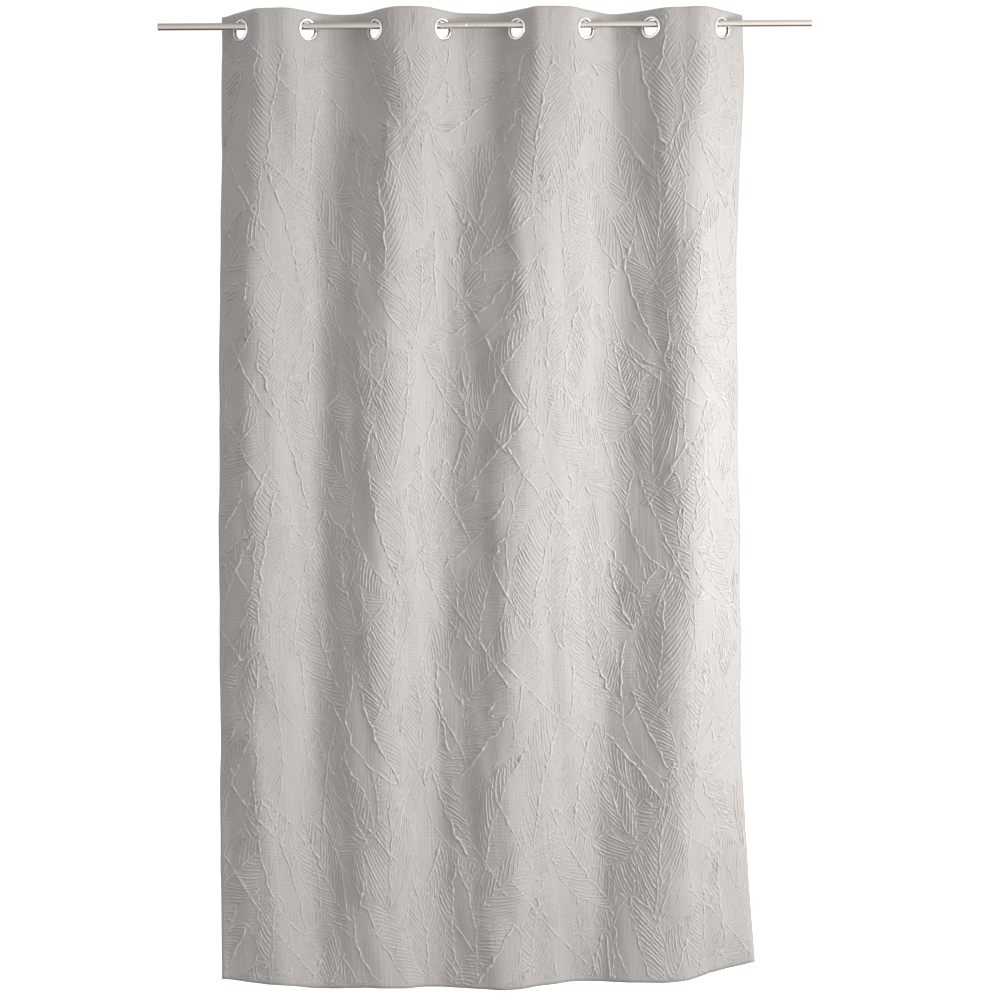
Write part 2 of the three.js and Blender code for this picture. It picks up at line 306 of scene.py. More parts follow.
# One repeat of the raised pattern, from the leaves beneath to those on top, and how repeats differ
REPEAT = (0.70, 0.525)
REPEAT_SEED = 5
REPEAT_MARGIN = 2
REPEAT_SHIFT = 0.010
REPEAT_TURN = 5.0
REPEAT_SIZE = (0.90, 1.1)
LEAVES = (
    Leaf((0.378, 0.181), 0.31, 0.137, 14.0, 20.0, VEINED, WAFFLE, vein_angle=40.0, traced=True),
    Leaf((0.064, 0.242), 0.31, 0.144, 14.0, -19.0, PLAIN, VEINED, vein_angle=42.0),
    Leaf((0.552, 0.016), 0.31, 0.144, 3.0, 14.0, vein_angle=36.0, traced=True),
    Leaf((0.244, 0.051), 0.28, 0.103, 146.0, 15.0, vein_angle=34.0),
    Leaf((0.026, 0.386), 0.27, 0.117, 196.0, -19.0, VEINED, PLAIN, vein_angle=38.0, traced=True),
    Leaf((0.070, 0.020), 0.26, 0.124, 200.0, -24.0, WAFFLE, VEINED, vein_angle=44.0),
    Leaf((0.662, 0.110), 0.33, 0.149, 49.0, -14.0, vein_angle=34.0, traced=True),
    Leaf((0.461, 0.379), 0.34, 0.149, 13.0, 25.0, vein_angle=38.0, traced=True),
    Leaf((0.128, 0.476), 0.45, 0.137, 10.0, 18.0, vein_angle=40.0, traced=True),
    Leaf((0.458, 0.140), 0.39, 0.132, -1.0, -21.0, vein_angle=30.0, traced=True),
    Leaf((0.633, 0.249), 0.38, 0.140, 195.0, 21.0, VEINED, WAFFLE, vein_angle=32.0),
    Leaf((0.219, 0.508), 0.34, 0.149, 52.0, -26.0, traced=True),
    Leaf((0.249, 0.159), 0.31, 0.132, 139.0, 14.0, PLAIN, VEINED, vein_angle=38.0, traced=True),
    Leaf((0.396, 0.078), 0.28, 0.124, 157.0, -20.0, VEINED, PLAIN, vein_angle=36.0),
    Leaf((0.227, 0.168), 0.38, 0.142, -10.0, -14.0, WAFFLE, VEINED, vein_angle=44.0, traced=True),
    Leaf((0.642, 0.362), 0.36, 0.122, -6.0, 20.0, VEINED, PLAIN, vein_angle=34.0, traced=True),
    Leaf((0.294, 0.162), 0.36, 0.117, 191.0, -27.0, vein_angle=36.0),
    Leaf((0.073, 0.150), 0.29, 0.122, 225.0, 23.0, PLAIN, VEINED, vein_angle=42.0, traced=True),
    Leaf((0.537, 0.271), 0.22, 0.090, 8.0, -22.0, vein_angle=40.0),
    Leaf((0.694, 0.517), 0.31, 0.120, 22.0, 24.0, VEINED, WAFFLE, vein_angle=34.0, traced=True),
    Leaf((0.352, 0.117), 0.31, 0.117, -28.0, 30.0, vein_angle=38.0),
    Leaf((0.560, 0.300), 0.22, 0.083, 150.0, -18.0, VEINED, PLAIN, vein_angle=36.0),
    Leaf((0.400, 0.470), 0.21, 0.081, -14.0, 22.0, vein_angle=34.0),
)
STALKS = (
    Leaf((0.070, 0.020), 0.31, 0.0, 141.0, -14.0),
    Leaf((0.320, 0.270), 0.34, 0.0, 138.0, -12.0),
    Leaf((0.530, 0.050), 0.28, 0.0, 144.0, 16.0),
    Leaf((0.205, 0.375), 0.22, 0.0, 32.0, -20.0),
    Leaf((0.590, 0.360), 0.29, 0.0, 139.0, 10.0),
    Leaf((0.470, 0.470), 0.19, 0.0, 20.0, 18.0),
    Leaf((0.010, 0.280), 0.30, 0.0, 146.0, -10.0),
    Leaf((0.260, 0.180), 0.20, 0.0, 164.0, 14.0),
    Leaf((0.430, 0.190), 0.21, 0.0, 27.0, -16.0),
)


def spread_pattern(leaves: Sequence[Leaf]) -> list[Leaf]:
    """One repeat's leaves, side by side and one below the other, as many as touch the cloth.

    Args:
        leaves: the repeat's leaves, or the stalks that cross them.

    Returns:
        The leaves from beneath to on top, each a little different from repeat to repeat.
    """
    random = np.random.RandomState(REPEAT_SEED)
    columns, rows = (math.ceil(size / pitch) + REPEAT_MARGIN
                     for size, pitch in zip((CLOTH_WIDTH, CLOTH_LENGTH), REPEAT))
    spread = []
    for leaf in leaves:
        for row in range(-REPEAT_MARGIN, rows):
            for column in range(-REPEAT_MARGIN, columns):
                shift = random.normal(0.0, REPEAT_SHIFT, 2) + (column * REPEAT[0], row * REPEAT[1])
                moved = leaf.moved(shift, random.normal(0.0, REPEAT_TURN), random.uniform(*REPEAT_SIZE))
                s, v = moved.middle
                reach = moved.length / 2
                if -reach < s < CLOTH_WIDTH + reach and -reach < v < CLOTH_LENGTH + reach:
                    spread.append(moved)
    return spread


PATTERN = spread_pattern(LEAVES)
CROSSINGS = spread_pattern(STALKS)


@dataclass
class ClothShape:
    """The middle surface of the hung cloth, as one rule for the sheet and all that lies on it."""

    columns: int = 361
    rows: int = 521
    pillow: float = 0.0005
    pillow_middle: float = 0.35
    pucker: float = 0.030
    pucker_pitch: tuple[float, float] = (0.035, 0.16)
    pucker_lean: float = 0.6
    pucker_stretch: float = 0.5
    pucker_waves: int = 24
    calm_radius: float = 0.030
    calm_fade: float = 0.040
    seed: int = 7
    places: np.ndarray = field(init=False)
    normals: np.ndarray = field(init=False)
    eyelet_s: list[float] = field(init=False)
    eyelet_v: list[float] = field(init=False)

    def __post_init__(self) -> None:
        """Works out the eyelets' places on the flat cloth and the lookup grid."""
        self._find_eyelets()
        s = np.linspace(0.0, CLOTH_WIDTH, self.columns)
        v = np.linspace(0.0, CLOTH_LENGTH, self.rows)
        base = np.stack([self._row(drop, s / CLOTH_WIDTH) for drop in v + TOP_DROP])
        grid_s, grid_v = np.meshgrid(s, v)
        normals = self._grid_normals(base)
        lift = self.relief(np.stack((grid_s, grid_v), axis=-1))
        self.places = base + normals * lift[..., None]
        self.normals = self._grid_normals(self.places)

    @staticmethod
    def _column(values: Sequence[float], drop: float) -> float:
        """A column of the fold table at any drop: constant down to the first level, smooth below it.

        Args:
            values: the column's values at the level drops.
            drop: the distance below the rod's axis.

        Returns:
            The value there.
        """
        last = len(LEVEL_DROPS) - 1
        place = min(max(drop, LEVEL_DROPS[0]), LEVEL_DROPS[last])
        level = 0
        while level < last - 1 and place > LEVEL_DROPS[level + 1]:
            level += 1
        slopes = []
        for index in (level, level + 1):
            before, after = max(index - 1, 0), min(index + 1, last)
            step = LEVEL_DROPS[after] - LEVEL_DROPS[before]
            slopes.append(0.0 if index == 0 else (values[after] - values[before]) / step)
        span = LEVEL_DROPS[level + 1] - LEVEL_DROPS[level]
        t = (place - LEVEL_DROPS[level]) / span
        return float(ClothShape._cubic(t, span, values[level], slopes[0], values[level + 1], slopes[1]))

    @staticmethod
    def _cubic(t: np.ndarray | float, span: float, start: float, start_slope: float, end: float,
               end_slope: float) -> np.ndarray | float:
        """The cubic between two knots.

        Args:
            t: the share of the way from the first knot to the second.
            span: the distance between the knots.
            start: the value at the first knot.
            start_slope: the slope at the first knot.
            end: the value at the second knot.
            end_slope: the slope at the second knot.

        Returns:
            The value at t.
        """
        t2, t3 = t * t, t * t * t
        return (start * (2 * t3 - 3 * t2 + 1) + start_slope * span * (t3 - 2 * t2 + t)
                + end * (3 * t2 - 2 * t3) + end_slope * span * (t3 - t2))

    def _knots(self, drop: float) -> list[tuple[float, float, float]]:
        """The knots (x, forward, slope) of the level curve at one drop.

        Args:
            drop: the distance below the rod's axis.

        Returns:
            The left edge's knot, and three for each fold line after it.
        """
        fade = float(smooth_step((drop - HEADER_DROP) / HEADER_FADE))
        lines = [(self._column(line.x, drop), self._column(line.forward, drop), self._column(line.rise, drop))
                 for line in FOLD_LINES]
        knots = [lines[0]]
        for span, eyelet in enumerate(EYELETS):
            (x0, f0, m0), (x1, f1, m1) = lines[span], lines[span + 1]
            width = x1 - x0
            angle = math.radians(eyelet.angle)
            # Below the heading, the value and slope half way along the cubic between the two lines
            place = mix(eyelet.x, (x0 + x1) / 2, fade)
            value = mix(0.0, (f0 + f1) / 2 + (m0 - m1) * width / 8, fade)
            slope = mix(fold_sign(span) * math.tan(angle), 1.5 * (f1 - f0) / width - (m0 + m1) / 4, fade)
            reach = SEAT_HALF_WIDTH * math.cos(angle) * mix(1.0, BODY_SEAT_SHARE, fade)
            knots.append((place - reach, value - slope * reach, slope))
            knots.append((place + reach, value + slope * reach, slope))
            knots.append(lines[span + 1])
        return knots

    def _curve(self, drop: float) -> tuple[np.ndarray, np.ndarray, np.ndarray, np.ndarray]:
        """The level curve at one drop, sampled closely.

        Args:
            drop: the distance below the rod's axis.

        Returns:
            x, forward and distance along the cloth at each sample, and the x of the fold lines.
        """
        knots = self._knots(drop)
        x, forward = [np.array([knots[0][0]])], [np.array([knots[0][1]])]
        t = np.arange(1, ARC_SAMPLES + 1) / ARC_SAMPLES
        for (x0, f0, m0), (x1, f1, m1) in zip(knots, knots[1:]):
            x.append(x0 + (x1 - x0) * t)
            forward.append(self._cubic(t, x1 - x0, f0, m0, f1, m1))
        all_x, all_forward = np.concatenate(x), np.concatenate(forward)
        steps = np.hypot(np.diff(all_x), np.diff(all_forward))
        length = np.concatenate(([0.0], np.cumsum(steps)))
        return all_x, all_forward, length, np.array([knot[0] for knot in knots[::3]])

    def _row(self, drop: float, shares: np.ndarray) -> np.ndarray:
        """Points of the smooth cloth at one drop.

        Args:
            drop: the distance below the rod's axis, before the hem's and the top edge's own curves.
            shares: the places' shares of the cloth's width.

        Returns:
            The points.
        """
        x, forward, length, lines = self._curve(drop)
        target = shares * length[-1]
        row_x, row_forward = np.interp(target, length, x), np.interp(target, length, forward)
        span = np.clip(np.searchsorted(lines, row_x) - 1, 0, len(lines) - 2)
        share = np.clip((row_x - lines[span]) / (lines[span + 1] - lines[span]), 0.0, 1.0)
        t = np.where(span == len(lines) - 2, share ** FREE_EDGE_EASE, smooth_step(share))
        hems, dips = (np.array([getattr(line, end) for line in FOLD_LINES]) for end in ("hem", "dip"))
        low = hems[span] + (hems[span + 1] - hems[span]) * t - HEM_DROP
        high = dips[span] + (dips[span + 1] - dips[span]) * smooth_step(share)
        foot = float(smooth_step((drop - HEM_RISE_START) / (HEM_DROP - HEM_RISE_START)))
        head = 1.0 - float(smooth_step((drop - TOP_DROP) / HEAD_DEPTH))
        return np.stack((row_x, -row_forward, -(drop + low * foot + high * head)), axis=-1)

    def _find_eyelets(self) -> None:
        """Reads where each eyelet's centre lies on the flat cloth from the frame and the header's curve."""
        x, _, length, _ = self._curve(HEADER_DROP)
        scale = CLOTH_WIDTH / length[-1]
        self.eyelet_s, self.eyelet_v = [], []
        for number, eyelet in enumerate(EYELETS, start=1):
            self.eyelet_s.append(float(np.interp(eyelet.x, x, length)) * scale)
            self.eyelet_v.append(-eyelet_height(number) - TOP_DROP)

    @staticmethod
    def _grid_normals(grid: np.ndarray) -> np.ndarray:
        """Unit normals of a grid of points, towards the front of the cloth.

        Args:
            grid: the rows of points.

        Returns:
            The normals, in the same rows.
        """
        along, down = np.gradient(grid, axis=1), np.gradient(grid, axis=0)
        normal = np.cross(down, along)
        return normal / np.linalg.norm(normal, axis=-1, keepdims=True)

    def calm(self, flat: np.ndarray) -> np.ndarray:
        """1 over most of the cloth, fading to 0 close to each eyelet, where the rings hold the cloth flat.

        Args:
            flat: an array of (s, v) pairs.

        Returns:
            What multiplies the relief at each place.
        """
        still = np.ones(flat.shape[:-1])
        for s, v in zip(self.eyelet_s, self.eyelet_v):
            away = np.hypot(flat[..., 0] - s, flat[..., 1] - v)
            still = np.minimum(still, smooth_step((away - self.calm_radius) / self.calm_fade))
        return still

    def relief(self, flat: np.ndarray) -> np.ndarray:
        """How far the cloth's middle scale relief stands forward of its folds.

        Args:
            flat: an array of (s, v) pairs.

        Returns:
            The lift in metres: a crown on each leaf and slow uneven puckers.
        """
        lift = np.zeros(flat.shape[:-1])
        for leaf in PATTERN:
            near = leaf.near(flat)
            across = leaf.crown(flat[near])
            rise = self.pillow * (1.0 - across ** 4) * mix(self.pillow_middle, 1.0, across)
            lift[near] = np.where(across >= 0.0, rise, lift[near])
        random = np.random.RandomState(self.seed)
        for _ in range(self.pucker_waves):
            pitch = random.uniform(*self.pucker_pitch)
            heading = random.normal(0.0, self.pucker_lean)
            turn = 2 * math.pi / pitch
            phase = random.uniform(0.0, 2 * math.pi)
            way = flat[..., 0] * math.cos(heading) + flat[..., 1] * self.pucker_stretch * math.sin(heading)
            lift += self.pucker / turn * np.sin(turn * way + phase)
        return lift * self.calm(flat)

    def place(self, flat: np.ndarray) -> tuple[np.ndarray, np.ndarray]:
        """Points and normals of the middle surface.

        Args:
            flat: an array of (s, v) pairs.

        Returns:
            The points and the unit normals there.
        """
        column = np.clip(flat[..., 0] / CLOTH_WIDTH, 0.0, 1.0) * (self.columns - 1)
        row = np.clip(flat[..., 1] / CLOTH_LENGTH, 0.0, 1.0) * (self.rows - 1)
        c0 = np.minimum(column.astype(int), self.columns - 2)
        r0 = np.minimum(row.astype(int), self.rows - 2)
        tc, tr = (column - c0)[..., None], (row - r0)[..., None]
        found = []
        for grid in (self.places, self.normals):
            upper = grid[r0, c0] * (1 - tc) + grid[r0, c0 + 1] * tc
            lower = grid[r0 + 1, c0] * (1 - tc) + grid[r0 + 1, c0 + 1] * tc
            found.append(upper * (1 - tr) + lower * tr)
        return found[0], found[1] / np.linalg.norm(found[1], axis=-1, keepdims=True)


Colour = tuple[float, float, float, float]
Scale = tuple[float, float, float]
Socket = bpy.types.NodeSocket


class NodeSketch:
    """Short ways to add and link the nodes of one tree."""

    def __init__(self, tree: bpy.types.NodeTree) -> None:
        """Starts on a tree."""
        self.tree = tree

    def put(self, socket: Socket, value: object) -> None:
        """Links an output to a socket, or sets the socket's own value."""
        if isinstance(value, bpy.types.NodeSocket):
            self.tree.links.new(value, socket)
        else:
            socket.default_value = value

    def node(self, kind: str, inputs: dict[str | int, object] | None = None,
             **settings: object) -> bpy.types.Node:
        """Adds a node.

        Args:
            kind: the node's type.
            inputs: socket names or numbers to the values or outputs that feed them.
            settings: the node's own properties.

        Returns:
            The node.
        """
        node = self.tree.nodes.new(kind)
        for key, value in settings.items():
            setattr(node, key, value)
        for key, value in (inputs or {}).items():
            self.put(node.inputs[key], value)
        return node

    def out(self, kind: str, inputs: dict[str | int, object], **settings: object) -> Socket:
        """The first output of a new node."""
        return self.node(kind, inputs, **settings).outputs[0]

    def math(self, operation: str, *values: object) -> Socket:
        """The output of a Math node on the values given."""
        return self.out("ShaderNodeMath", dict(enumerate(values)), operation=operation)

    def times(self, first: object, second: object) -> Socket:
        """The product of two values."""
        return self.math("MULTIPLY", first, second)

    def total(self, *values: object) -> Socket:
        """The sum of all the values."""
        return reduce(lambda done, value: self.math("ADD", done, value), values)

    def wave(self, way: object, pitch: float) -> Socket:
        """A sine of a distance, with a zero at every pitch."""
        return self.math("SINE", self.times(way, math.pi / pitch))

    def noise(self, place: Socket, scale: float, detail: float = 2.0) -> Socket:
        """The grey value of a noise."""
        inputs = {"Vector": place, "Scale": scale, "Detail": detail}
        return self.node("ShaderNodeTexNoise", inputs).outputs["Fac"]

    def streaks(self, place: Socket, scale: Scale, detail: float = 2.0) -> Socket:
        """The grey value of a noise with its own scale along each axis."""
        mapped = self.node("ShaderNodeMapping", {"Vector": place, "Scale": scale})
        return self.noise(mapped.outputs[0], 1.0, detail)

    def remap(self, value: Socket, start: Sequence[object], end: Sequence[object] = (0.0, 1.0)) -> Socket:
        """A value carried from one range to another and held in it."""
        return self.out("ShaderNodeMapRange", {
            "Value": value, "From Min": start[0], "From Max": start[1], "To Min": end[0], "To Max": end[1]})

    def graded(self, value: Socket, stops: Sequence[tuple[float, float]]) -> Socket:
        """A smooth grading of one value.

        Args:
            value: the value.
            stops: pairs of the value and what it becomes, in rising order.

        Returns:
            What the value becomes.
        """
        low, high = stops[0][0], stops[-1][0]
        ramp = self.node("ShaderNodeValToRGB", {"Fac": self.remap(value, (low, high))})
        elements = ramp.color_ramp.elements
        while len(elements) < len(stops):
            elements.new(1.0)
        for element, (place, grey) in zip(elements, stops):
            element.position = (place - low) / (high - low)
            element.color = (grey, grey, grey, 1.0)
        return ramp.outputs["Color"]

    def mix_colour(self, share: object, first: object, second: object) -> Socket:
        """The output of a colour mix."""
        return self.node("ShaderNodeMix", {0: share, 6: first, 7: second}, data_type="RGBA").outputs[2]

    def bump(self, height: Socket, distance: float) -> Socket:
        """The normal of a bump of this height times the distance."""
        return self.node("ShaderNodeBump", {"Distance": distance, "Height": height}).outputs["Normal"]


class MaterialSketch(NodeSketch):
    """A new material that holds only its shader and output, and the ways to add to it."""

    def __init__(self, name: str) -> None:
        """Starts the material."""
        self.material = bpy.data.materials.new(name)
        self.material.use_nodes = True
        super().__init__(self.material.node_tree)

    def set(self, **values: object) -> None:
        """Feeds the shader's sockets, with underscores for the spaces in their names."""
        shader = self.tree.nodes["Principled BSDF"]
        for name, value in values.items():
            self.put(shader.inputs[name.replace("_", " ")], value)


SOFT_LOOK = {"Sheen_Weight": 0.18, "Sheen_Roughness": 0.45, "Specular_IOR_Level": 0.25}


@dataclass(frozen=True)
class ClothFinish:
    """Matt furnishing cloth: a fine linen weave with slubs, and a waffle weave in some of the grounds.

    Pitches and heights are in metres, and a scale is how fine a noise is across and down the cloth.
    """

    name: str = "greige_cloth"
    colour: Colour = (0.542, 0.518, 0.496, 1.0)
    shade: Colour = (0.484, 0.460, 0.439, 1.0)
    roughness: float = 0.92
    thread: float = 0.0011
    thread_height: float = 0.00022
    waffle: float = 0.0086
    waffle_height: float = 0.0008
    waffle_upright: float = 0.6
    waffle_wander: float = 0.005
    cloud_scale: float = 34.0
    cloud_range: tuple[float, float] = (0.32, 0.62)
    slub_scales: tuple[Scale, Scale] = ((420.0, 26.0, 1.0), (22.0, 380.0, 1.0))
    slub_height: float = 0.0004
    pleat_scale: Scale = (150.0, 9.0, 1.0)
    pleat_height: float = 0.0020
    crinkle_scale: Scale = (330.0, 45.0, 1.0)
    crinkle_height: float = 0.0005

    def material(self) -> bpy.types.Material:
        """The cloth's material, which reads the flat cloth's own UV map in metres.

        Returns:
            The material.
        """
        sketch = MaterialSketch(self.name)
        flat = sketch.node("ShaderNodeUVMap", uv_map="flat").outputs["UV"]
        parts = sketch.node("ShaderNodeSeparateXYZ", {0: flat}).outputs
        ways = parts["X"], parts["Y"]
        weave = sketch.times(*(sketch.wave(way, self.thread) for way in ways))
        slubs = sketch.times(sketch.total(*(sketch.streaks(flat, scale) for scale in self.slub_scales)), 0.5)
        height = sketch.total(
            sketch.times(weave, self.thread_height),
            self._waffle(sketch, flat, ways),
            sketch.times(slubs, self.slub_height),
            sketch.times(sketch.streaks(flat, self.pleat_scale), self.pleat_height),
            sketch.times(sketch.streaks(flat, self.crinkle_scale, detail=1.0), self.crinkle_height))
        sketch.set(Base_Color=sketch.mix_colour(slubs, self.shade, self.colour),
                   Normal=sketch.bump(height, 1.0), Roughness=self.roughness, **SOFT_LOOK)
        return sketch.material

    def _waffle(self, sketch: NodeSketch, flat: Socket, ways: Sequence[Socket]) -> Socket:
        """The depth of the waffle weave, in uneven patches where the cloth's attribute asks for it.

        Args:
            sketch: the material's nodes.
            flat: the place on the flat cloth.
            ways: its distances across and down.

        Returns:
            The height, 0 or below.
        """
        cloud = sketch.noise(flat, self.cloud_scale)
        wander = sketch.times(cloud, self.waffle_wander)
        cells = [sketch.math("ABSOLUTE", sketch.wave(sketch.math("ADD", way, wander), self.waffle))
                 for way in ways]
        upright = sketch.math("ADD", sketch.times(cells[0], self.waffle_upright), 1.0 - self.waffle_upright)
        asked = sketch.node("ShaderNodeAttribute", attribute_name="waffle").outputs["Fac"]
        amount = sketch.times(asked, sketch.remap(cloud, self.cloud_range))
        return sketch.times(sketch.times(sketch.times(cells[1], upright), amount), -self.waffle_height)


@dataclass(frozen=True)
class YarnFinish:
    """The raised yarn of the veins and ribs, with a fine twist: by default a little paler than the cloth, as
    a painted highlight where the raised ridges catch the light.
    """

    name: str = "raised_yarn_painted_highlight"
    # Paler than the cloth: a painted highlight on the raised ridges
    colour: Colour = (0.643, 0.616, 0.592, 1.0)
    shade: Colour = (0.540, 0.514, 0.491, 1.0)
    roughness: float = 0.9
    grain: float = 620.0
    height: float = 0.00035

    def material(self) -> bpy.types.Material:
        """The yarn's material, which reads object coordinates.

        Returns:
            The material.
        """
        sketch = MaterialSketch(self.name)
        grain = sketch.noise(sketch.node("ShaderNodeTexCoord").outputs["Object"], self.grain)
        sketch.set(Base_Color=sketch.mix_colour(grain, self.shade, self.colour),
                   Normal=sketch.bump(grain, self.height), Roughness=self.roughness, **SOFT_LOOK)
        return sketch.material


@dataclass(frozen=True)
class MetalFinish:
    """Metal with a faint brushed grain and slow variations of gloss."""

    name: str
    colour: Colour
    roughness: float
    stretch: Scale
    grain_height: float = 0.00003
    cloud_scale: float = 14.0
    cloud_gloss: tuple[float, float] = (-0.05, 0.07)
    dark_share: float = 0.9

    def material(self) -> bpy.types.Material:
        """The metal's material, which reads object coordinates.

        Returns:
            The material.
        """
        sketch = MaterialSketch(self.name)
        place = sketch.node("ShaderNodeTexCoord").outputs["Object"]
        brush = sketch.streaks(place, self.stretch, detail=3.0)
        cloud = sketch.noise(place, self.cloud_scale)
        gloss = sketch.remap(cloud, (0.0, 1.0), [self.roughness + change for change in self.cloud_gloss])
        darker = tuple(channel * self.dark_share for channel in self.colour[:3]) + (1.0,)
        sketch.set(Base_Color=sketch.mix_colour(brush, darker, self.colour), Metallic=1.0,
                   Normal=sketch.bump(brush, self.grain_height), Roughness=gloss)
        return sketch.material


RING_METAL = MetalFinish("satin_nickel_ring", (0.93, 0.89, 0.87, 1.0), 0.16, (900.0, 900.0, 40.0))
# Painted shade and a painted reflection of a dark room: dark red-brown for the inside of each eyelet's barrel
BARREL_PAINTED_SHADE = MetalFinish("barrel_painted_shade", (0.26, 0.175, 0.155, 1.0), 0.40, (900.0, 900.0, 40.0))
# The rod's own beige-pink nickel tint, made darker as painted shade for the darker room that it reflects
ROD_METAL = MetalFinish("satin_nickel_rod_painted_shade", (0.62, 0.565, 0.52, 1.0), 0.20, (12.0, 900.0, 900.0))


def add_object(name: str, data: bpy.types.ID) -> bpy.types.Object:
    """A new object that holds the data, linked to the scene."""
    made = bpy.data.objects.new(name, data)
    bpy.context.scene.collection.objects.link(made)
    return made


def mesh_object(name: str, vertices: np.ndarray, faces: Iterable[Sequence[int]],
                edges: Iterable[Sequence[int]] = ()) -> bpy.types.Object:
    """An object at the origin that holds a new mesh.

    Args:
        name: the object's and the mesh's name.
        vertices: the points, in metres.
        faces: the points of each face, counter-clockwise seen from outside.
        edges: loose edges.

    Returns:
        The object, linked to the scene.
    """
    mesh = bpy.data.meshes.new(name)
    mesh.from_pydata([tuple(point) for point in vertices.tolist()], list(edges), list(faces))
    mesh.validate()
    return add_object(name, mesh)


def tag_points(mesh: bpy.types.Mesh, name: str, values: np.ndarray) -> None:
    """Gives each point of a mesh its own number, or its own vector, under one name."""
    kind, part = ("FLOAT", "value") if values.ndim == 1 else ("FLOAT_VECTOR", "vector")
    mesh.attributes.new(name, kind, "POINT").data.foreach_set(part, values.ravel())


def shade_smooth(made: bpy.types.Object) -> None:
    """Smooth shading on every face."""
    made.data.polygons.foreach_set("use_smooth", [True] * len(made.data.polygons))
    made.data.update()


def settle(made: bpy.types.Object, slot: str, *nodes: str) -> None:
    """Tells the frame what a piece rides on, hides the nodes it stands for, and reports it.

    Args:
        made: the piece.
        slot: the record's material slot, not used.
        nodes: the CAD nodes that it replaces.
    """
    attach(made, ROOT)
    if nodes:
        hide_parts(*nodes)
    triangles = sum(len(face.vertices) - 2 for face in made.data.polygons)
    LOG.info("%s: %d triangles", made.name, triangles)


@dataclass
class ClothSheet:
    """The cloth itself: one closed sheet on the folds, with its eyelet holes and turned hems."""

    shape: ClothShape
    finish: ClothFinish = ClothFinish()
    columns: int = 163
    rows: int = 285
    hole_radius: float = 0.0240
    side_hem: float = 0.022
    bottom_hem: float = 0.075
    heading: float = 0.095
    hem_step: float = 0.0012
    hem_extra: float = 0.0009
    faint_waffle: float = 0.10

    def build(self) -> bpy.types.Object:
        """Builds the sheet and dresses it.

        Returns:
            The cloth's object.
        """
        s, v = self._lines()
        grid_s, grid_v = np.meshgrid(s, v)
        flat = np.stack((grid_s, grid_v), axis=-1)
        kept = self._punch(flat)
        middle, normals = self.shape.place(flat)
        half = CLOTH_THICKNESS / 2
        behind = half + self.hem_extra * self._hem_share(flat)
        both = np.stack((middle + normals * half, middle - normals * behind[..., None]))
        cloth = mesh_object("curtain_cloth", both.reshape(-1, 3), self._faces(kept, len(v), len(s)))
        self._dress(cloth, flat)
        return cloth

    def _lines(self) -> tuple[np.ndarray, np.ndarray]:
        """The grid's lines across and down the flat cloth, with a pair close together at each hem's edge.

        Returns:
            The lines' distances from the left edge and from the top edge.
        """
        half = self.hem_step / 2
        made = []
        for end, count, hems in ((CLOTH_WIDTH, self.columns, (self.side_hem, CLOTH_WIDTH - self.side_hem)),
                                 (CLOTH_LENGTH, self.rows, (self.heading, CLOTH_LENGTH - self.bottom_hem))):
            lines = np.linspace(0.0, end, count)
            for hem in hems:
                lines = np.append(lines[np.abs(lines - hem) > 4 * half], (hem - half, hem + half))
            made.append(np.sort(lines))
        return made[0], made[1]

    def _hem_share(self, flat: np.ndarray) -> np.ndarray:
        """1 where the cloth is doubled by a hem or the heading, and 0 elsewhere.

        Args:
            flat: an array of (s, v) pairs.

        Returns:
            The number for each place.
        """
        s, v = flat[..., 0], flat[..., 1]
        side = np.minimum(s, CLOTH_WIDTH - s) < self.side_hem
        return (side | (v < self.heading) | (v > CLOTH_LENGTH - self.bottom_hem)).astype(float)

    def _punch(self, flat: np.ndarray) -> np.ndarray:
        """Marks the quads that stay and rounds the rims of the holes.

        Args:
            flat: the grid's places, changed where a point lies on a hole's rim.

        Returns:
            For each quad, whether it stays.
        """
        rows, columns = flat.shape[:2]
        centre = (flat[:-1, :-1] + flat[1:, 1:]) / 2
        kept = np.ones((rows - 1, columns - 1), dtype=bool)
        for s, v in zip(self.shape.eyelet_s, self.shape.eyelet_v):
            hole = np.array((s, v))
            gone = np.hypot(*(centre - hole).transpose(2, 0, 1)) < self.hole_radius
            kept &= ~gone
            touched = np.zeros((rows, columns), dtype=int)
            for dr in (0, 1):
                for dc in (0, 1):
                    touched[dr:rows - 1 + dr, dc:columns - 1 + dc] += gone
            rim = (touched > 0) & (touched < 4)
            away = flat[rim] - hole
            flat[rim] = hole + away / np.linalg.norm(away, axis=-1, keepdims=True) * self.hole_radius
        return kept

    @staticmethod
    def _faces(kept: np.ndarray, rows: int, columns: int) -> list[tuple[int, int, int, int]]:
        """The quads of both faces, and the walls along every rim between them.

        Args:
            kept: whether each quad of the grid stays.
            rows: how many rows of points the grid has.
            columns: how many points a row has.

        Returns:
            The four points of each face.
        """
        back = rows * columns
        faces = []
        padded = np.pad(kept, 1)
        for r, c in zip(*np.nonzero(kept)):
            a, b = int(r * columns + c), int(r * columns + c + 1)
            d, e = int((r + 1) * columns + c), int((r + 1) * columns + c + 1)
            faces.append((a, d, e, b))
            faces.append((back + a, back + b, back + e, back + d))
            walls = ((padded[r, c + 1], b, a), (padded[r + 2, c + 1], d, e),
                     (padded[r + 1, c], a, d), (padded[r + 1, c + 2], e, b))
            for closed, start, end in walls:
                if not closed:
                    faces.append((end, start, back + start, back + end))
        return faces

    def _dress(self, cloth: bpy.types.Object, flat: np.ndarray) -> None:
        """Adds the flat UV map, the waffle attribute and the material.

        Args:
            cloth: the cloth's object.
            flat: the (s, v) pairs of one of its faces.
        """
        mesh = cloth.data
        twice = np.concatenate((flat.reshape(-1, 2), flat.reshape(-1, 2)))
        corners = np.empty(len(mesh.loops), dtype=np.int32)
        mesh.loops.foreach_get("vertex_index", corners)
        layer = mesh.uv_layers.new(name="flat")
        layer.data.foreach_set("uv", twice[corners].ravel())
        tag_points(mesh, "waffle", self._waffle_share(twice))
        mesh.materials.append(self.finish.material())
        shade_smooth(cloth)

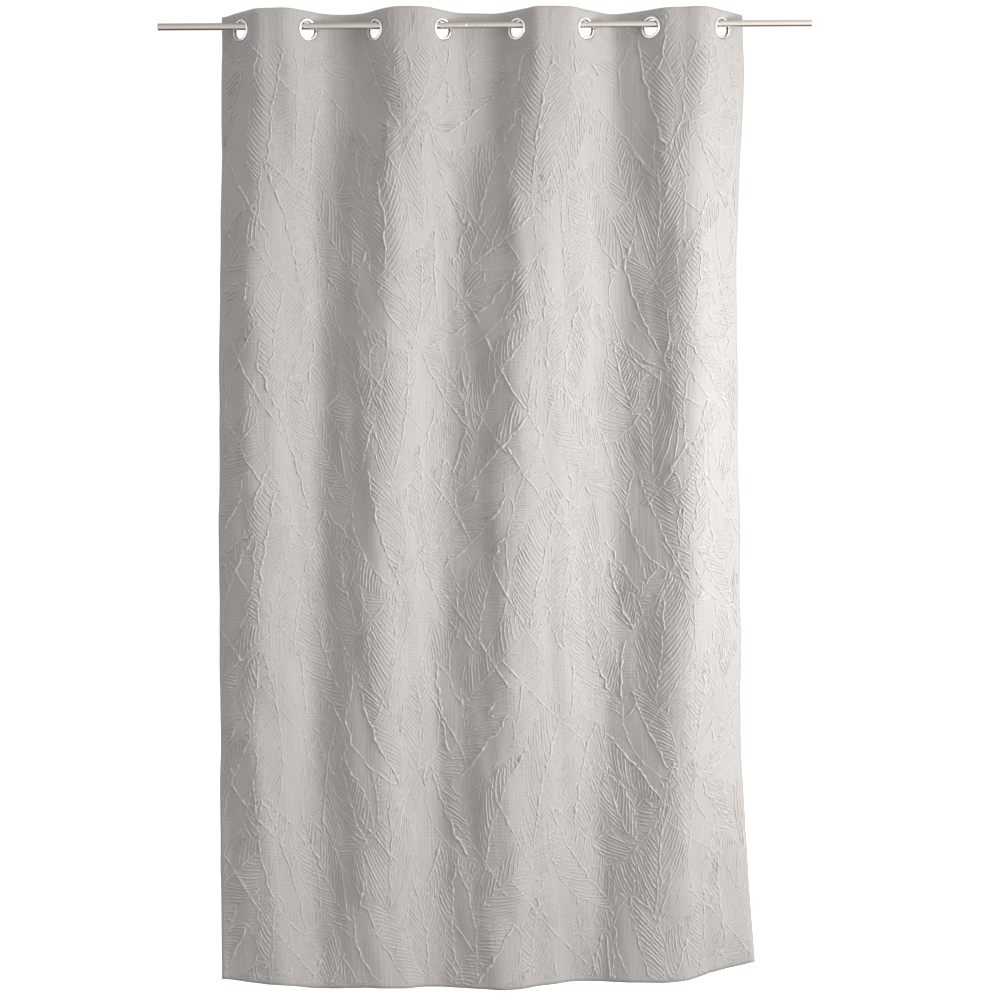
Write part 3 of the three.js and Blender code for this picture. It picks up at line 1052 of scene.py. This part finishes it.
    def _waffle_share(self, flat: np.ndarray) -> np.ndarray:
        """How much of the waffle weave shows at each place: full where a half leaf of waffle is on top.

        Args:
            flat: an array of (s, v) pairs.

        Returns:
            The share for each place.
        """
        share = np.full(len(flat), self.faint_waffle)
        for leaf in PATTERN:
            held = leaf.holds(flat)
            side = leaf.local(flat[held])[1]
            left, right = (1.0 if leaf.ground(half) is WAFFLE else self.faint_waffle for half in (-1.0, 1.0))
            share[held] = np.where(side < 0.0, left, right)
        return share


@dataclass(frozen=True)
class CordSweep:
    """A node tree that sweeps a low rounded section along loose edges that lie on the cloth.

    The knob size is how much a cord swells and thins, and the knob scale is how often.
    """

    name: str
    half_width: float
    height: float
    knob_size: float
    knob_scale: float
    sides: int
    noise_range: tuple[float, float] = (0.3, 0.7)

    def sizes(self) -> dict[str, float]:
        """The names and values of the tree's inputs."""
        return {"Half Width": self.half_width, "Height": self.height,
                "Knob Size": self.knob_size, "Knob Scale": self.knob_scale}

    def tree(self, material: bpy.types.Material) -> bpy.types.NodeTree:
        """Builds the tree.

        Args:
            material: the finish that the tree sets on the swept cords.

        Returns:
            The node tree, whose named inputs are the section's sizes and the knobs'.
        """
        tree = bpy.data.node_groups.new(self.name, "GeometryNodeTree")
        face = tree.interface
        face.new_socket("Geometry", in_out="INPUT", socket_type="NodeSocketGeometry")
        for label in self.sizes():
            face.new_socket(label, in_out="INPUT", socket_type="NodeSocketFloat")
        face.new_socket("Geometry", in_out="OUTPUT", socket_type="NodeSocketGeometry")
        sketch = NodeSketch(tree)
        given = sketch.node("NodeGroupInput").outputs
        ground = sketch.node("GeometryNodeInputNamedAttribute", {"Name": "ground"}, data_type="FLOAT_VECTOR")
        girth = sketch.node("GeometryNodeInputNamedAttribute", {"Name": "girth"})
        path = sketch.out("GeometryNodeMeshToCurve", {"Mesh": given["Geometry"]})
        path = sketch.out("GeometryNodeSetCurveNormal",
                          {"Curve": path, "Normal": ground.outputs["Attribute"]}, mode="FREE")
        section = sketch.out("GeometryNodeCurveArc", {
            "Resolution": self.sides, "Radius": 1.0, "Start Angle": -math.pi / 2, "Sweep Angle": math.pi})
        section = sketch.out("GeometryNodeSetSplineCyclic", {"Geometry": section, "Cyclic": True})
        size = sketch.out("ShaderNodeCombineXYZ", {
            "X": given["Height"], "Y": given["Half Width"], "Z": given["Half Width"]})
        section = sketch.out("GeometryNodeTransform", {"Geometry": section, "Scale": size})
        noise = sketch.node("ShaderNodeTexNoise", {"Scale": given["Knob Scale"], "Detail": 1.0})
        thin, thick = (sketch.math(change, 1.0, given["Knob Size"]) for change in ("SUBTRACT", "ADD"))
        knob = sketch.remap(noise.outputs["Fac"], self.noise_range, (thin, thick))
        swept = sketch.out("GeometryNodeCurveToMesh", {
            "Curve": path, "Profile Curve": section, "Fill Caps": True,
            "Scale": sketch.times(knob, girth.outputs["Attribute"])})
        swept = sketch.out("GeometryNodeSetShadeSmooth", {"Geometry": swept})
        swept = sketch.out("GeometryNodeRealizeInstances", {"Geometry": swept})
        swept = sketch.out("GeometryNodeSetMaterial", {"Geometry": swept, "Material": material})
        sketch.node("NodeGroupOutput", {"Geometry": swept})
        return tree

    def along(self, piece: str, paths: "Paths", shape: ClothShape, material: bpy.types.Material,
              lift: float = CLOTH_THICKNESS / 2) -> bpy.types.Object:
        """Sweeps the section along paths on the cloth.

        Args:
            piece: the finished object's name.
            paths: the paths on the flat cloth.
            shape: the cloth that they lie on.
            material: the cords' finish.
            lift: how far forward of the cloth's middle its face lies, negative for its back.

        Returns:
            A plain mesh object that holds all the cords.
        """
        points, edges, girth = paths.joined()
        places, normals = shape.place(points)
        normals = normals * math.copysign(1.0, lift)
        guide = mesh_object(f"{piece}_guide", places + normals * (abs(lift) - CORD_SINK), (), edges)
        tag_points(guide.data, "ground", normals)
        tag_points(guide.data, "girth", girth)
        modifier = guide.modifiers.new("sweep", "NODES")
        modifier.node_group = self.tree(material)
        for item in modifier.node_group.interface.items_tree:
            if item.in_out == "INPUT" and item.name in self.sizes():
                modifier[item.identifier] = self.sizes()[item.name]
        graph = bpy.context.evaluated_depsgraph_get()
        mesh = bpy.data.meshes.new_from_object(guide.evaluated_get(graph), depsgraph=graph)
        mesh.name = piece
        swept = add_object(piece, mesh)
        old = guide.data
        bpy.data.objects.remove(guide)
        bpy.data.meshes.remove(old)
        return swept


VEIN_CORD = CordSweep("vein_sweep", 0.0018, 0.0020, knob_size=0.42, knob_scale=150.0, sides=3)
RIB_CORD = CordSweep("rib_sweep", 0.0023, 0.0024, knob_size=0.80, knob_scale=150.0, sides=4)
STITCH_CORD = CordSweep("stitch_sweep", 0.00045, 0.0006, knob_size=0.1, knob_scale=300.0, sides=3)


@dataclass
class Paths:
    """Open lines on the flat cloth, each with a girth at every point."""

    lines: list[np.ndarray] = field(default_factory=list)
    girths: list[np.ndarray] = field(default_factory=list)

    def add(self, line: np.ndarray, girth: np.ndarray) -> None:
        """Adds one line of (s, v) pairs and its girths."""
        self.lines.append(line)
        self.girths.append(girth)

    def joined(self) -> tuple[np.ndarray, list[tuple[int, int]], np.ndarray]:
        """All the points, the edges between them and the girths.

        Returns:
            The (s, v) pairs, the pairs of points that edges join, and a girth for each point.
        """
        edges, start = [], 0
        for line in self.lines:
            edges.extend((start + step, start + step + 1) for step in range(len(line) - 1))
            start += len(line)
        return np.concatenate(self.lines), edges, np.concatenate(self.girths)


@dataclass(frozen=True)
class Strand:
    """How thick one kind of cord is, and the share of that left at its start and at its line's far end."""

    girth: float
    start: float
    end: float


VEIN = Strand(1.0, 0.3, 1.2)
KNOT = Strand(0.85, 0.6, 0.6)
MIDRIB = Strand(1.0, 0.5, 0.5)
OUTLINE = Strand(0.66, 0.5, 0.5)
STALK = Strand(0.8, 0.4, 0.4)


@dataclass
class LeafRelief:
    """The raised leaf pattern: side veins as thin cords, and midribs and outlines as knobbly ones.

    The nubs are short knots of yarn. Lengths are in metres. The other sizes are shares: of a leaf's length,
    of the way from its midrib to its outline, or of the size that they vary.
    """

    shape: ClothShape
    finish: YarnFinish = YarnFinish()
    vein_bands: int = 3
    rib_bands: int = 2
    vein_step: float = 0.0056
    rib_step: float = 0.0052
    kink: int = 3
    nubs: int = 5
    nub_ends: tuple[float, float] = (0.03, 0.97)
    nub_spread: float = 0.011
    nub_reach: tuple[float, float] = (0.0022, 0.0050)
    rib_nubs: int = 14
    rib_nub_span: tuple[float, float] = (0.06, 0.94)
    rib_nub_spread: float = 0.0022
    angle_range: tuple[float, float] = (0.70, 1.50)
    pitch_range: tuple[float, float] = (0.80, 1.22)
    first_vein: float = 0.45
    last_vein: float = 0.985
    vein_span: tuple[float, float] = (0.03, 0.985)
    vein_stop: tuple[float, float] = (0.84, 1.12)
    vein_rounds: int = 8
    vein_surplus: float = 1.5
    vein_length: float = 0.7
    leaf_margin: float = 0.01
    curl: float = 0.55
    vein_sway: float = 0.0009
    rib_sway: float = 0.0027
    rib_jitter: float = 0.2
    stalk_sway: float = 0.4
    girth_range: tuple[float, float] = (0.7, 1.15)
    tip_steps: float = 1.5
    edge_room: float = 0.006
    eyelet_room: float = 0.0295
    heading_press: float = 0.55
    heading_range: tuple[float, float] = (0.07, 0.12)
    seed: int = 11

    def build(self) -> list[bpy.types.Object]:
        """Builds the veins and the ribs in bands from the top of the cloth to its foot.

        Returns:
            The finished objects.
        """
        veins, ribs = self._collect()
        material = self.finish.material()
        return [cord.along(f"leaf_{kind}_{index}", paths, self.shape, material)
                for cord, kind, bands in ((VEIN_CORD, "veins", veins), (RIB_CORD, "ribs", ribs))
                for index, paths in enumerate(bands, start=1)]

    def _collect(self) -> tuple[list[Paths], list[Paths]]:
        """Finds every cord's path on the flat cloth.

        Returns:
            The veins and the ribs, each in bands.
        """
        random = np.random.RandomState(self.seed)
        veins = [Paths() for _ in range(self.vein_bands)]
        ribs = [Paths() for _ in range(self.rib_bands)]
        for order, leaf in enumerate(PATTERN):
            above = [other for other in PATTERN[order + 1:]
                     if np.hypot(*(other.middle - leaf.middle)) < LEAF_REACH * (other.length + leaf.length)]
            self._show(self._veins(leaf, random), above, veins, VEIN, random)
            self._show(self._knots(leaf, random), above, ribs, KNOT, random)
            for line, strand, covered in self._ribs(leaf, random):
                self._show([line], above if covered else [], ribs, strand, random)
        for stalk in CROSSINGS:
            along = np.linspace(0.0, 1.0, int(stalk.length / self.rib_step))
            line = stalk.point(along, self.stalk_sway * self._kinks(len(along), random))
            self._show([line], [], ribs, STALK, random)
        return veins, ribs

    def _kinks(self, count: int, random: np.random.RandomState) -> np.ndarray:
        """Distances to the side of a line's points: straight stretches between uneven turns.

        Args:
            count: how many points the line has.
            random: what the uneven sizes are drawn from.

        Returns:
            The distances.
        """
        turns = np.arange(0, count + self.kink, self.kink)
        return np.interp(np.arange(count), turns, random.normal(0.0, self.rib_sway, len(turns)))

    def _knots(self, leaf: Leaf, random: np.random.RandomState) -> list[np.ndarray]:
        """Short knots of yarn, some scattered round the leaf's base and tip and some close to its ribs.

        Args:
            leaf: the leaf.
            random: what the uneven sizes are drawn from.

        Returns:
            The knots' lines of three places.
        """
        places = [(along, 0.0, self.nub_spread) for along in self.nub_ends for _ in range(self.nubs)]
        for along in random.uniform(*self.rib_nub_span, self.rib_nubs):
            side = random.choice((-1.0, 0.0, 0.0, 1.0)) * float(leaf.half_width(along))
            places.append((along, side, self.rib_nub_spread))
        lines = []
        for along, side, spread in places:
            middle = leaf.point(along, side) + random.normal(0.0, spread, 2)
            heading = random.uniform(0.0, math.pi)
            step = random.uniform(*self.nub_reach) * np.array((math.cos(heading), math.sin(heading)))
            lines.append(np.stack((middle - step, middle, middle + step)))
        return lines

    def _veins(self, leaf: Leaf, random: np.random.RandomState) -> list[np.ndarray]:
        """The side veins of one leaf, each from the midrib out to the outline.

        Args:
            leaf: the leaf.
            random: what the uneven sizes are drawn from.

        Returns:
            The veins' lines of places.
        """
        lines = []
        for side in (-1.0, 1.0):
            if leaf.ground(side) is not VEINED:
                continue
            angle = math.radians(leaf.vein_angle * random.uniform(*self.angle_range))
            reach = 1.0 / math.tan(angle) / leaf.length
            pitch = leaf.spacing / math.sin(angle)
            count = int(self.vein_surplus * leaf.length / pitch)
            steps = pitch / leaf.length * random.uniform(*self.pitch_range, count)
            starts = np.cumsum(steps) - self.first_vein * leaf.width * reach
            starts = starts[starts < self.last_vein, None]
            out = np.linspace(*self.vein_span, max(int(self.vein_length * leaf.width / self.vein_step), 4))
            along = starts + 0.0 * out
            for _ in range(self.vein_rounds):
                far = out * leaf.half_width(along)
                along = starts + far * reach * (1.0 - 0.5 * self.curl + self.curl * out)
            sway = random.normal(0.0, self.vein_sway, along.shape)
            places = leaf.point(along, side * far + sway)
            kept = (along > self.leaf_margin) & (along < 1.0 - self.leaf_margin)
            kept &= out < random.uniform(*self.vein_stop, (len(along), 1))
            lines.extend(line[stay] for line, stay in zip(places, kept) if stay.sum() > 2)
        return lines

    def _ribs(self, leaf: Leaf, random: np.random.RandomState) -> list[tuple[np.ndarray, Strand, bool]]:
        """The midrib and both outlines of one leaf.

        Args:
            leaf: the leaf.
            random: what the uneven sizes are drawn from.

        Returns:
            The places, the strand and whether leaves above cover it, for each line.
        """
        count = int(leaf.length / self.rib_step)
        along = np.linspace(0.0, 1.0, count)
        lines = []
        for side, strand in ((0.0, MIDRIB), (-1.0, OUTLINE), (1.0, OUTLINE)):
            if side == 0.0 and VEINED not in (leaf.left, leaf.right):
                continue
            sway = self._kinks(count, random) + random.normal(0.0, self.rib_jitter * self.rib_sway, count)
            covered = not (leaf.traced and side > 0.0)
            lines.append((leaf.point(along, side * leaf.half_width(along) + sway), strand, covered))
        return lines

    def _show(self, lines: list[np.ndarray], above: list[Leaf], bands: list[Paths], strand: Strand,
              random: np.random.RandomState) -> None:
        """Adds the stretches of lines that no leaf above covers.

        Args:
            lines: the lines' places on the flat cloth.
            above: the leaves that lie over them.
            bands: the paths to add to, from the top of the cloth to its foot.
            strand: how thick the lines are.
            random: what varies the girth from line to line.
        """
        if not lines:
            return
        places = np.concatenate(lines)
        edges = np.array((CLOTH_WIDTH, CLOTH_LENGTH)) - self.edge_room
        shown = ((places > self.edge_room) & (places < edges)).all(axis=1)
        for s, v in zip(self.shape.eyelet_s, self.shape.eyelet_v):
            shown &= np.hypot(places[:, 0] - s, places[:, 1] - v) > self.eyelet_room
        for other in above:
            shown &= ~other.holds(places)
        start = 0
        for line in lines:
            part = shown[start:start + len(line)]
            start += len(line)
            turns = np.nonzero(np.diff(np.concatenate(([0], part.astype(int), [0]))))[0]
            for first, last in zip(turns[::2], turns[1::2]):
                if last - first > 2:
                    girth = strand.girth * random.uniform(*self.girth_range)
                    end = strand.end if last == len(line) else strand.start
                    self._add(line[first:last], bands, Strand(girth, strand.start, end))

    def _add(self, line: np.ndarray, bands: list[Paths], strand: Strand) -> None:
        """Adds one stretch to its band, thinner at its ends and pressed flatter in the heading.

        Args:
            line: the stretch's places.
            bands: the paths to add to, from the top of the cloth to its foot.
            strand: how thick the stretch is.
        """
        steps = np.arange(len(line))
        low, high = self.heading_range
        pressed = mix(self.heading_press, 1.0, smooth_step((line[:, 1] - low) / (high - low)))
        for tip, away in ((strand.start, steps), (strand.end, steps[::-1])):
            pressed = pressed * mix(tip, 1.0, np.minimum(away / self.tip_steps, 1.0))
        band = min(int(line[:, 1].mean() / CLOTH_LENGTH * len(bands)), len(bands) - 1)
        bands[band].add(line, strand.girth * pressed)


@dataclass
class HemStitches:
    """The sewing of the hems and the heading: rows of single stitches near each hem's inner edge."""

    sheet: ClothSheet
    finish: YarnFinish = YarnFinish("sewing_thread", (0.610, 0.585, 0.562, 1.0))
    pitch: float = 0.0048
    share: float = 0.66
    girths: Sequence[float] = (0.4, 1.0, 1.0, 0.4)
    inset: float = 0.003
    margin: float = 0.006

    def build(self) -> list[bpy.types.Object]:
        """Builds the stitches of both faces.

        Returns:
            The side hems' stitches on the front, and all of them on the back.
        """
        sheet = self.sheet
        end_s, end_v = CLOTH_WIDTH - self.margin, CLOTH_LENGTH - self.margin
        sides = [((s, self.margin), (s, end_v))
                 for s in (sheet.side_hem - self.inset, CLOTH_WIDTH - sheet.side_hem + self.inset)]
        levels = [((self.margin, v), (end_s, v))
                  for v in (sheet.heading - self.inset, CLOTH_LENGTH - sheet.bottom_hem + self.inset)]
        face, back = CLOTH_THICKNESS / 2, -CLOTH_THICKNESS / 2 - sheet.hem_extra
        material = self.finish.material()
        made = []
        for side, rows, lift in (("front", sides, face), ("back", sides + levels, back)):
            paths = Paths()
            for start, end in rows:
                self._row(paths, np.array(start), np.array(end))
            made.append(STITCH_CORD.along(f"hem_stitches_{side}", paths, sheet.shape, material, lift))
        return made

    def _row(self, paths: Paths, start: np.ndarray, end: np.ndarray) -> None:
        """Adds one row of stitches, each with sunk ends.

        Args:
            paths: the paths to add to.
            start: the row's first place.
            end: its last place.
        """
        count = int(np.linalg.norm(end - start) / self.pitch)
        for number in range(count):
            shares = (number + self.share * np.linspace(0.0, 1.0, len(self.girths))) / count
            paths.add(start + np.outer(shares, end - start), np.array(self.girths))


@dataclass
class Turned:
    """A closed ring or bar turned from a section of radius and height round an axis."""

    section: Sequence[tuple[float, float]]
    sides: int = 64
    ring: bool = True

    def build(self, name: str, matrix: Matrix) -> bpy.types.Object:
        """Turns the section and puts it in its place.

        Args:
            name: the object's name.
            matrix: what takes the turning axis, local Z, to its place.

        Returns:
            The object, with its place in its mesh.
        """
        count = len(self.section)
        angles = np.arange(self.sides) * 2 * math.pi / self.sides
        radius, height = np.array(self.section).T
        points = np.stack((np.outer(np.cos(angles), radius), np.outer(np.sin(angles), radius),
                           np.outer(np.ones(self.sides), height)), axis=-1).reshape(-1, 3)
        steps = [(step, (step + 1) % count) for step in range(count if self.ring else count - 1)]
        starts = [side * count for side in range(self.sides)]
        faces = []
        for here, after in zip(starts, starts[1:] + starts[:1]):
            faces.extend((here + step, after + step, after + ahead, here + ahead) for step, ahead in steps)
        if not self.ring:
            faces.extend((starts[::-1], [start + count - 1 for start in starts]))
        turn, shift = np.array(matrix.to_3x3()), np.array(matrix.translation)
        made = mesh_object(name, points @ turn.T + shift, faces)
        shade_smooth(made)
        return made


# Section points as distances out from the bore or the rim, and up from the barrel's foot or the washer's top
BARREL_CURL = ((0.0003, -0.0007), (0.0012, -0.0010), (0.0024, -0.0009), (0.0032, -0.0003), (0.0016, -0.0003))
WASHER_EDGE = ((-0.0024, -0.0017), (-0.0010, -0.0014), (-0.0003, -0.0008))


@dataclass
class Eyelet:
    """One eyelet: the domed front ring with its curled barrel, painted dark inside as painted shade, and the
    washer behind the cloth.
    """

    number: int
    place: EyeletPlace
    metal: bpy.types.Material
    # The inside of the barrel: dark red-brown painted shade and painted reflection
    inside: bpy.types.Material
    bore: float = 0.0205
    rim: float = 0.0270
    seat: float = 0.0013
    dome: float = 0.0026
    dome_fullness: float = 0.8
    dome_points: int = 13
    washer: float = 0.0017
    washer_room: float = 0.0022
    painted_shade_depth: float = 0.0004

    def _matrix(self) -> Matrix:
        """Takes local Z to the front normal of the cloth at the eyelet's centre.

        Returns:
            The eyelet's matrix.
        """
        angle = math.radians(self.place.angle) * fold_sign(self.number - 1)
        normal = Vector((-math.sin(angle), -math.cos(angle), 0.0))
        up = Vector((0.0, 0.0, 1.0))
        turn = Matrix((up.cross(normal), up, normal)).transposed().to_4x4()
        return Matrix.Translation((self.place.x, 0.0, eyelet_height(self.number))) @ turn

    def _front_section(self) -> list[tuple[float, float]]:
        """The front ring's section, counter-clockwise with radius to the right and height up.

        Returns:
            The section's points.
        """
        middle, half = (self.rim + self.bore) / 2, (self.rim - self.bore) / 2
        arc = np.linspace(0.0, math.pi, self.dome_points)
        dome = [(middle + half * math.cos(turn), self.seat + self.dome * math.sin(turn) ** self.dome_fullness)
                for turn in arc]
        foot = -self.seat - self.washer
        curl = [(self.bore + out, foot + up) for out, up in BARREL_CURL]
        return [*dome, (self.bore, 0.0), (self.bore, foot), *curl, (curl[-1][0], self.seat)]

    def _washer_section(self) -> list[tuple[float, float]]:
        """The washer's section, counter-clockwise with radius to the right and height up.

        Returns:
            The section's points.
        """
        inner, top = self.bore + self.washer_room, -self.seat
        edge = [(self.rim + out, top + up) for out, up in WASHER_EDGE]
        return [(inner, top - self.washer), *edge, (self.rim, top), (inner, top)]

    def build(self) -> None:
        """Builds both rings, dresses them and paints the inside of the barrel with a dark painted shade."""
        matrix = self._matrix()
        for kind, section in (("front", self._front_section()), ("back", self._washer_section())):
            turned = Turned(section)
            ring = turned.build(f"ring_{kind}_{self.number}", matrix)
            ring.data.materials.append(self.metal)
            if kind == "front":
                # The faces inside the bore take the painted shade
                ring.data.materials.append(self.inside)
                reach = self.bore + self.painted_shade_depth
                inner = [int(max(point[0], after[0]) < reach)
                         for point, after in zip(section, section[1:] + section[:1])]
                ring.data.polygons.foreach_set("material_index", inner * turned.sides)
            settle(ring, "eyelet_metal", f"eyelet_{kind}_{self.number}")


@dataclass
class Rod:
    """The curtain rod: a wide tube with a narrower one that slides in from the right."""

    metal: bpy.types.Material
    length: float = 1.6
    wide: float = 0.0084
    narrow: float = 0.0077
    step: float = -0.044
    edge: float = 0.001
    lip: float = 0.0003
    joint: float = 0.00001

    def build(self) -> None:
        """Builds the rod and dresses it."""
        end, edge, lip, step = self.length / 2, self.edge, self.lip, self.step
        left = [(self.wide - edge, -end), (self.wide - lip, -end + lip),
                (self.wide, -end + edge), (self.wide, -end + 3 * edge)]
        middle = [(self.wide, step - 4 * lip), (self.wide, step - lip), (self.wide - lip, step),
                  (self.narrow, step + self.joint), (self.narrow, step + edge)]
        right = [(self.narrow, end - 3 * edge), (self.narrow, end - edge),
                 (self.narrow - lip, end - lip), (self.narrow - edge, end)]
        turn = Matrix.Rotation(math.pi / 2, 4, "Y")
        rod = Turned(left + middle + right, sides=96, ring=False).build("rod_tubes", turn)
        rod.data.materials.append(self.metal)
        settle(rod, "rod_metal", "curtain_rod")


WHITE = (1.0, 1.0, 1.0, 1.0)
PAPER = (0.9, 0.9, 0.9, 1.0)


@dataclass
class Studio:
    """A pale floor, soft lights and the camera at the photograph's angle.

    The two mirror tables grade what bare metal mirrors: by degrees up from straight ahead of the cloth,
    and by how far to the right, from -1 to 1.
    """

    distance: float = 4.40
    picture_width: float = 2.446
    sensor: float = 36.0
    axis_x: float = 0.030
    axis_z: float = -1.162
    roll: float = 0.35
    floor_z: float = -2.52
    floor_reach: float = 9.0
    floor_light: float = 0.75
    ambient: float = 0.47
    ambient_slant: Scale = (-0.06, -0.30, 0.95)
    key_place: Scale = (2.60, -1.70, -1.0)
    key_target: Scale = (0.0, 0.0, -1.0)
    key_size: tuple[float, float] = (1.2, 1.5)
    key_power: float = 44.0
    key_spread: float = 118.0
    backdrop: float = 1.05
    mirror_gain: float = 2.5
    mirror_heights: Sequence[tuple[float, float]] = (
        (-180.0, 0.25), (-112.0, 0.06), (-88.0, 0.10), (-66.0, 0.78), (-30.0, 0.86),
        (0.0, 0.76), (40.0, 0.60), (90.0, 0.44), (150.0, 0.36), (180.0, 0.50))
    mirror_sides: Sequence[tuple[float, float]] = (
        (-1.0, 0.64), (-0.5, 0.58), (-0.18, 0.46), (0.0, 0.55),
        (0.07, 0.62), (0.16, 0.88), (0.5, 0.92), (1.0, 0.92))

    def build(self) -> None:
        """Adds the stage, the lights and the camera."""
        self._floor()
        self._world()
        self._key()
        self._camera()

    def _floor(self) -> None:
        """A plain pale floor below the hem, which lights nothing from below."""
        corners = ((-1, -1), (1, -1), (1, 1), (-1, 1))
        points = np.array([(x * self.floor_reach, y * self.floor_reach, self.floor_z) for x, y in corners])
        floor = mesh_object("studio_floor", points, [(0, 1, 2, 3)])
        sketch = MaterialSketch("studio_paper")
        sketch.set(Base_Color=PAPER, Roughness=1.0, Specular_IOR_Level=0.0,
                   Emission_Color=WHITE, Emission_Strength=self.floor_light)
        floor.data.materials.append(sketch.material)
        floor.visible_diffuse = False
        floor.visible_glossy = False
        floor.visible_shadow = False

    def _world(self) -> None:
        """A soft light from all round: dim on cloth, white behind the object, and graded in the metal."""
        world = bpy.data.worlds.new("studio")
        world.use_nodes = True
        sketch = NodeSketch(world.node_tree)
        place = sketch.node("ShaderNodeTexCoord").outputs["Generated"]
        ray = sketch.node("ShaderNodeLightPath").outputs
        soft = sketch.out("ShaderNodeMix", {
            0: ray["Is Diffuse Ray"], 2: self.backdrop, 3: self._slanted(sketch, place)})
        strength = sketch.out("ShaderNodeMix", {
            0: ray["Is Glossy Ray"], 2: soft, 3: self._mirrored(sketch, place)})
        background = sketch.tree.nodes["Background"]
        sketch.put(background.inputs["Strength"], strength)
        sketch.put(background.inputs["Color"], WHITE)
        bpy.context.scene.world = world

    def _slanted(self, sketch: NodeSketch, place: Socket) -> Socket:
        """What lights the cloth from all round: mostly from above, and a little from the front."""
        lean = sketch.node("ShaderNodeVectorMath", {0: place, 1: self.ambient_slant}, operation="DOT_PRODUCT")
        return sketch.times(sketch.math("ADD", lean.outputs["Value"], 1.0), self.ambient)

    def _mirrored(self, sketch: NodeSketch, place: Socket) -> Socket:
        """What bare metal mirrors: bright below eye level, dark under it, and more light from the right.

        Args:
            sketch: the world's nodes.
            place: the direction that the light comes from.

        Returns:
            The strength of the light from there.
        """
        parts = sketch.node("ShaderNodeSeparateXYZ", {0: place}).outputs
        height = sketch.math("ARCTAN2", parts["Z"], sketch.times(parts["Y"], -1.0))
        heights = [(math.radians(degrees), value) for degrees, value in self.mirror_heights]
        graded = sketch.times(sketch.graded(height, heights), sketch.graded(parts["X"], self.mirror_sides))
        return sketch.times(graded, self.mirror_gain)

    def _key(self) -> None:
        """Adds one rectangular soft light, to the right of the curtain and in front of it."""
        light = bpy.data.lights.new("key", "AREA")
        light.shape = "RECTANGLE"
        light.size, light.size_y = self.key_size
        light.energy = self.key_power
        light.spread = math.radians(self.key_spread)
        holder = add_object("key", light)
        holder.location = self.key_place
        way = Vector(self.key_target) - Vector(self.key_place)
        holder.rotation_euler = way.to_track_quat("-Z", "Y").to_euler()

    def _camera(self) -> None:
        """Adds the camera, level with the middle of the cloth and rolled a little as in the photograph."""
        data = bpy.data.cameras.new("camera")
        data.sensor_width = self.sensor
        data.lens = data.sensor_width * self.distance / self.picture_width
        camera = add_object("camera", data)
        level = Matrix.Rotation(math.pi / 2, 4, "X")
        rolled = Matrix.Rotation(math.radians(-self.roll), 4, "Z")
        camera.matrix_world = Matrix.Translation((self.axis_x, -self.distance, self.axis_z)) @ level @ rolled
        bpy.context.scene.camera = camera


def main() -> None:
    """Builds the studio and every piece of the curtain in order."""
    logging.basicConfig(level=logging.INFO, format="%(name)s: %(message)s")
    bpy.context.scene.view_settings.view_transform = "Standard"
    Studio().build()
    shape = ClothShape()
    cloth = ClothSheet(shape)
    sheet = cloth.build()
    settle(sheet, "cloth", "curtain_panel")
    raised = LeafRelief(shape).build() + HemStitches(cloth).build()
    for cords in raised:
        settle(cords, "cloth")
    # The barrels' insides take a dark painted shade
    ring_metal, barrel_shade = RING_METAL.material(), BARREL_PAINTED_SHADE.material()
    for number, place in enumerate(EYELETS, start=1):
        Eyelet(number, place, ring_metal, barrel_shade).build()
    Rod(ROD_METAL.material()).build()


if __name__ == "__main__":
    main()
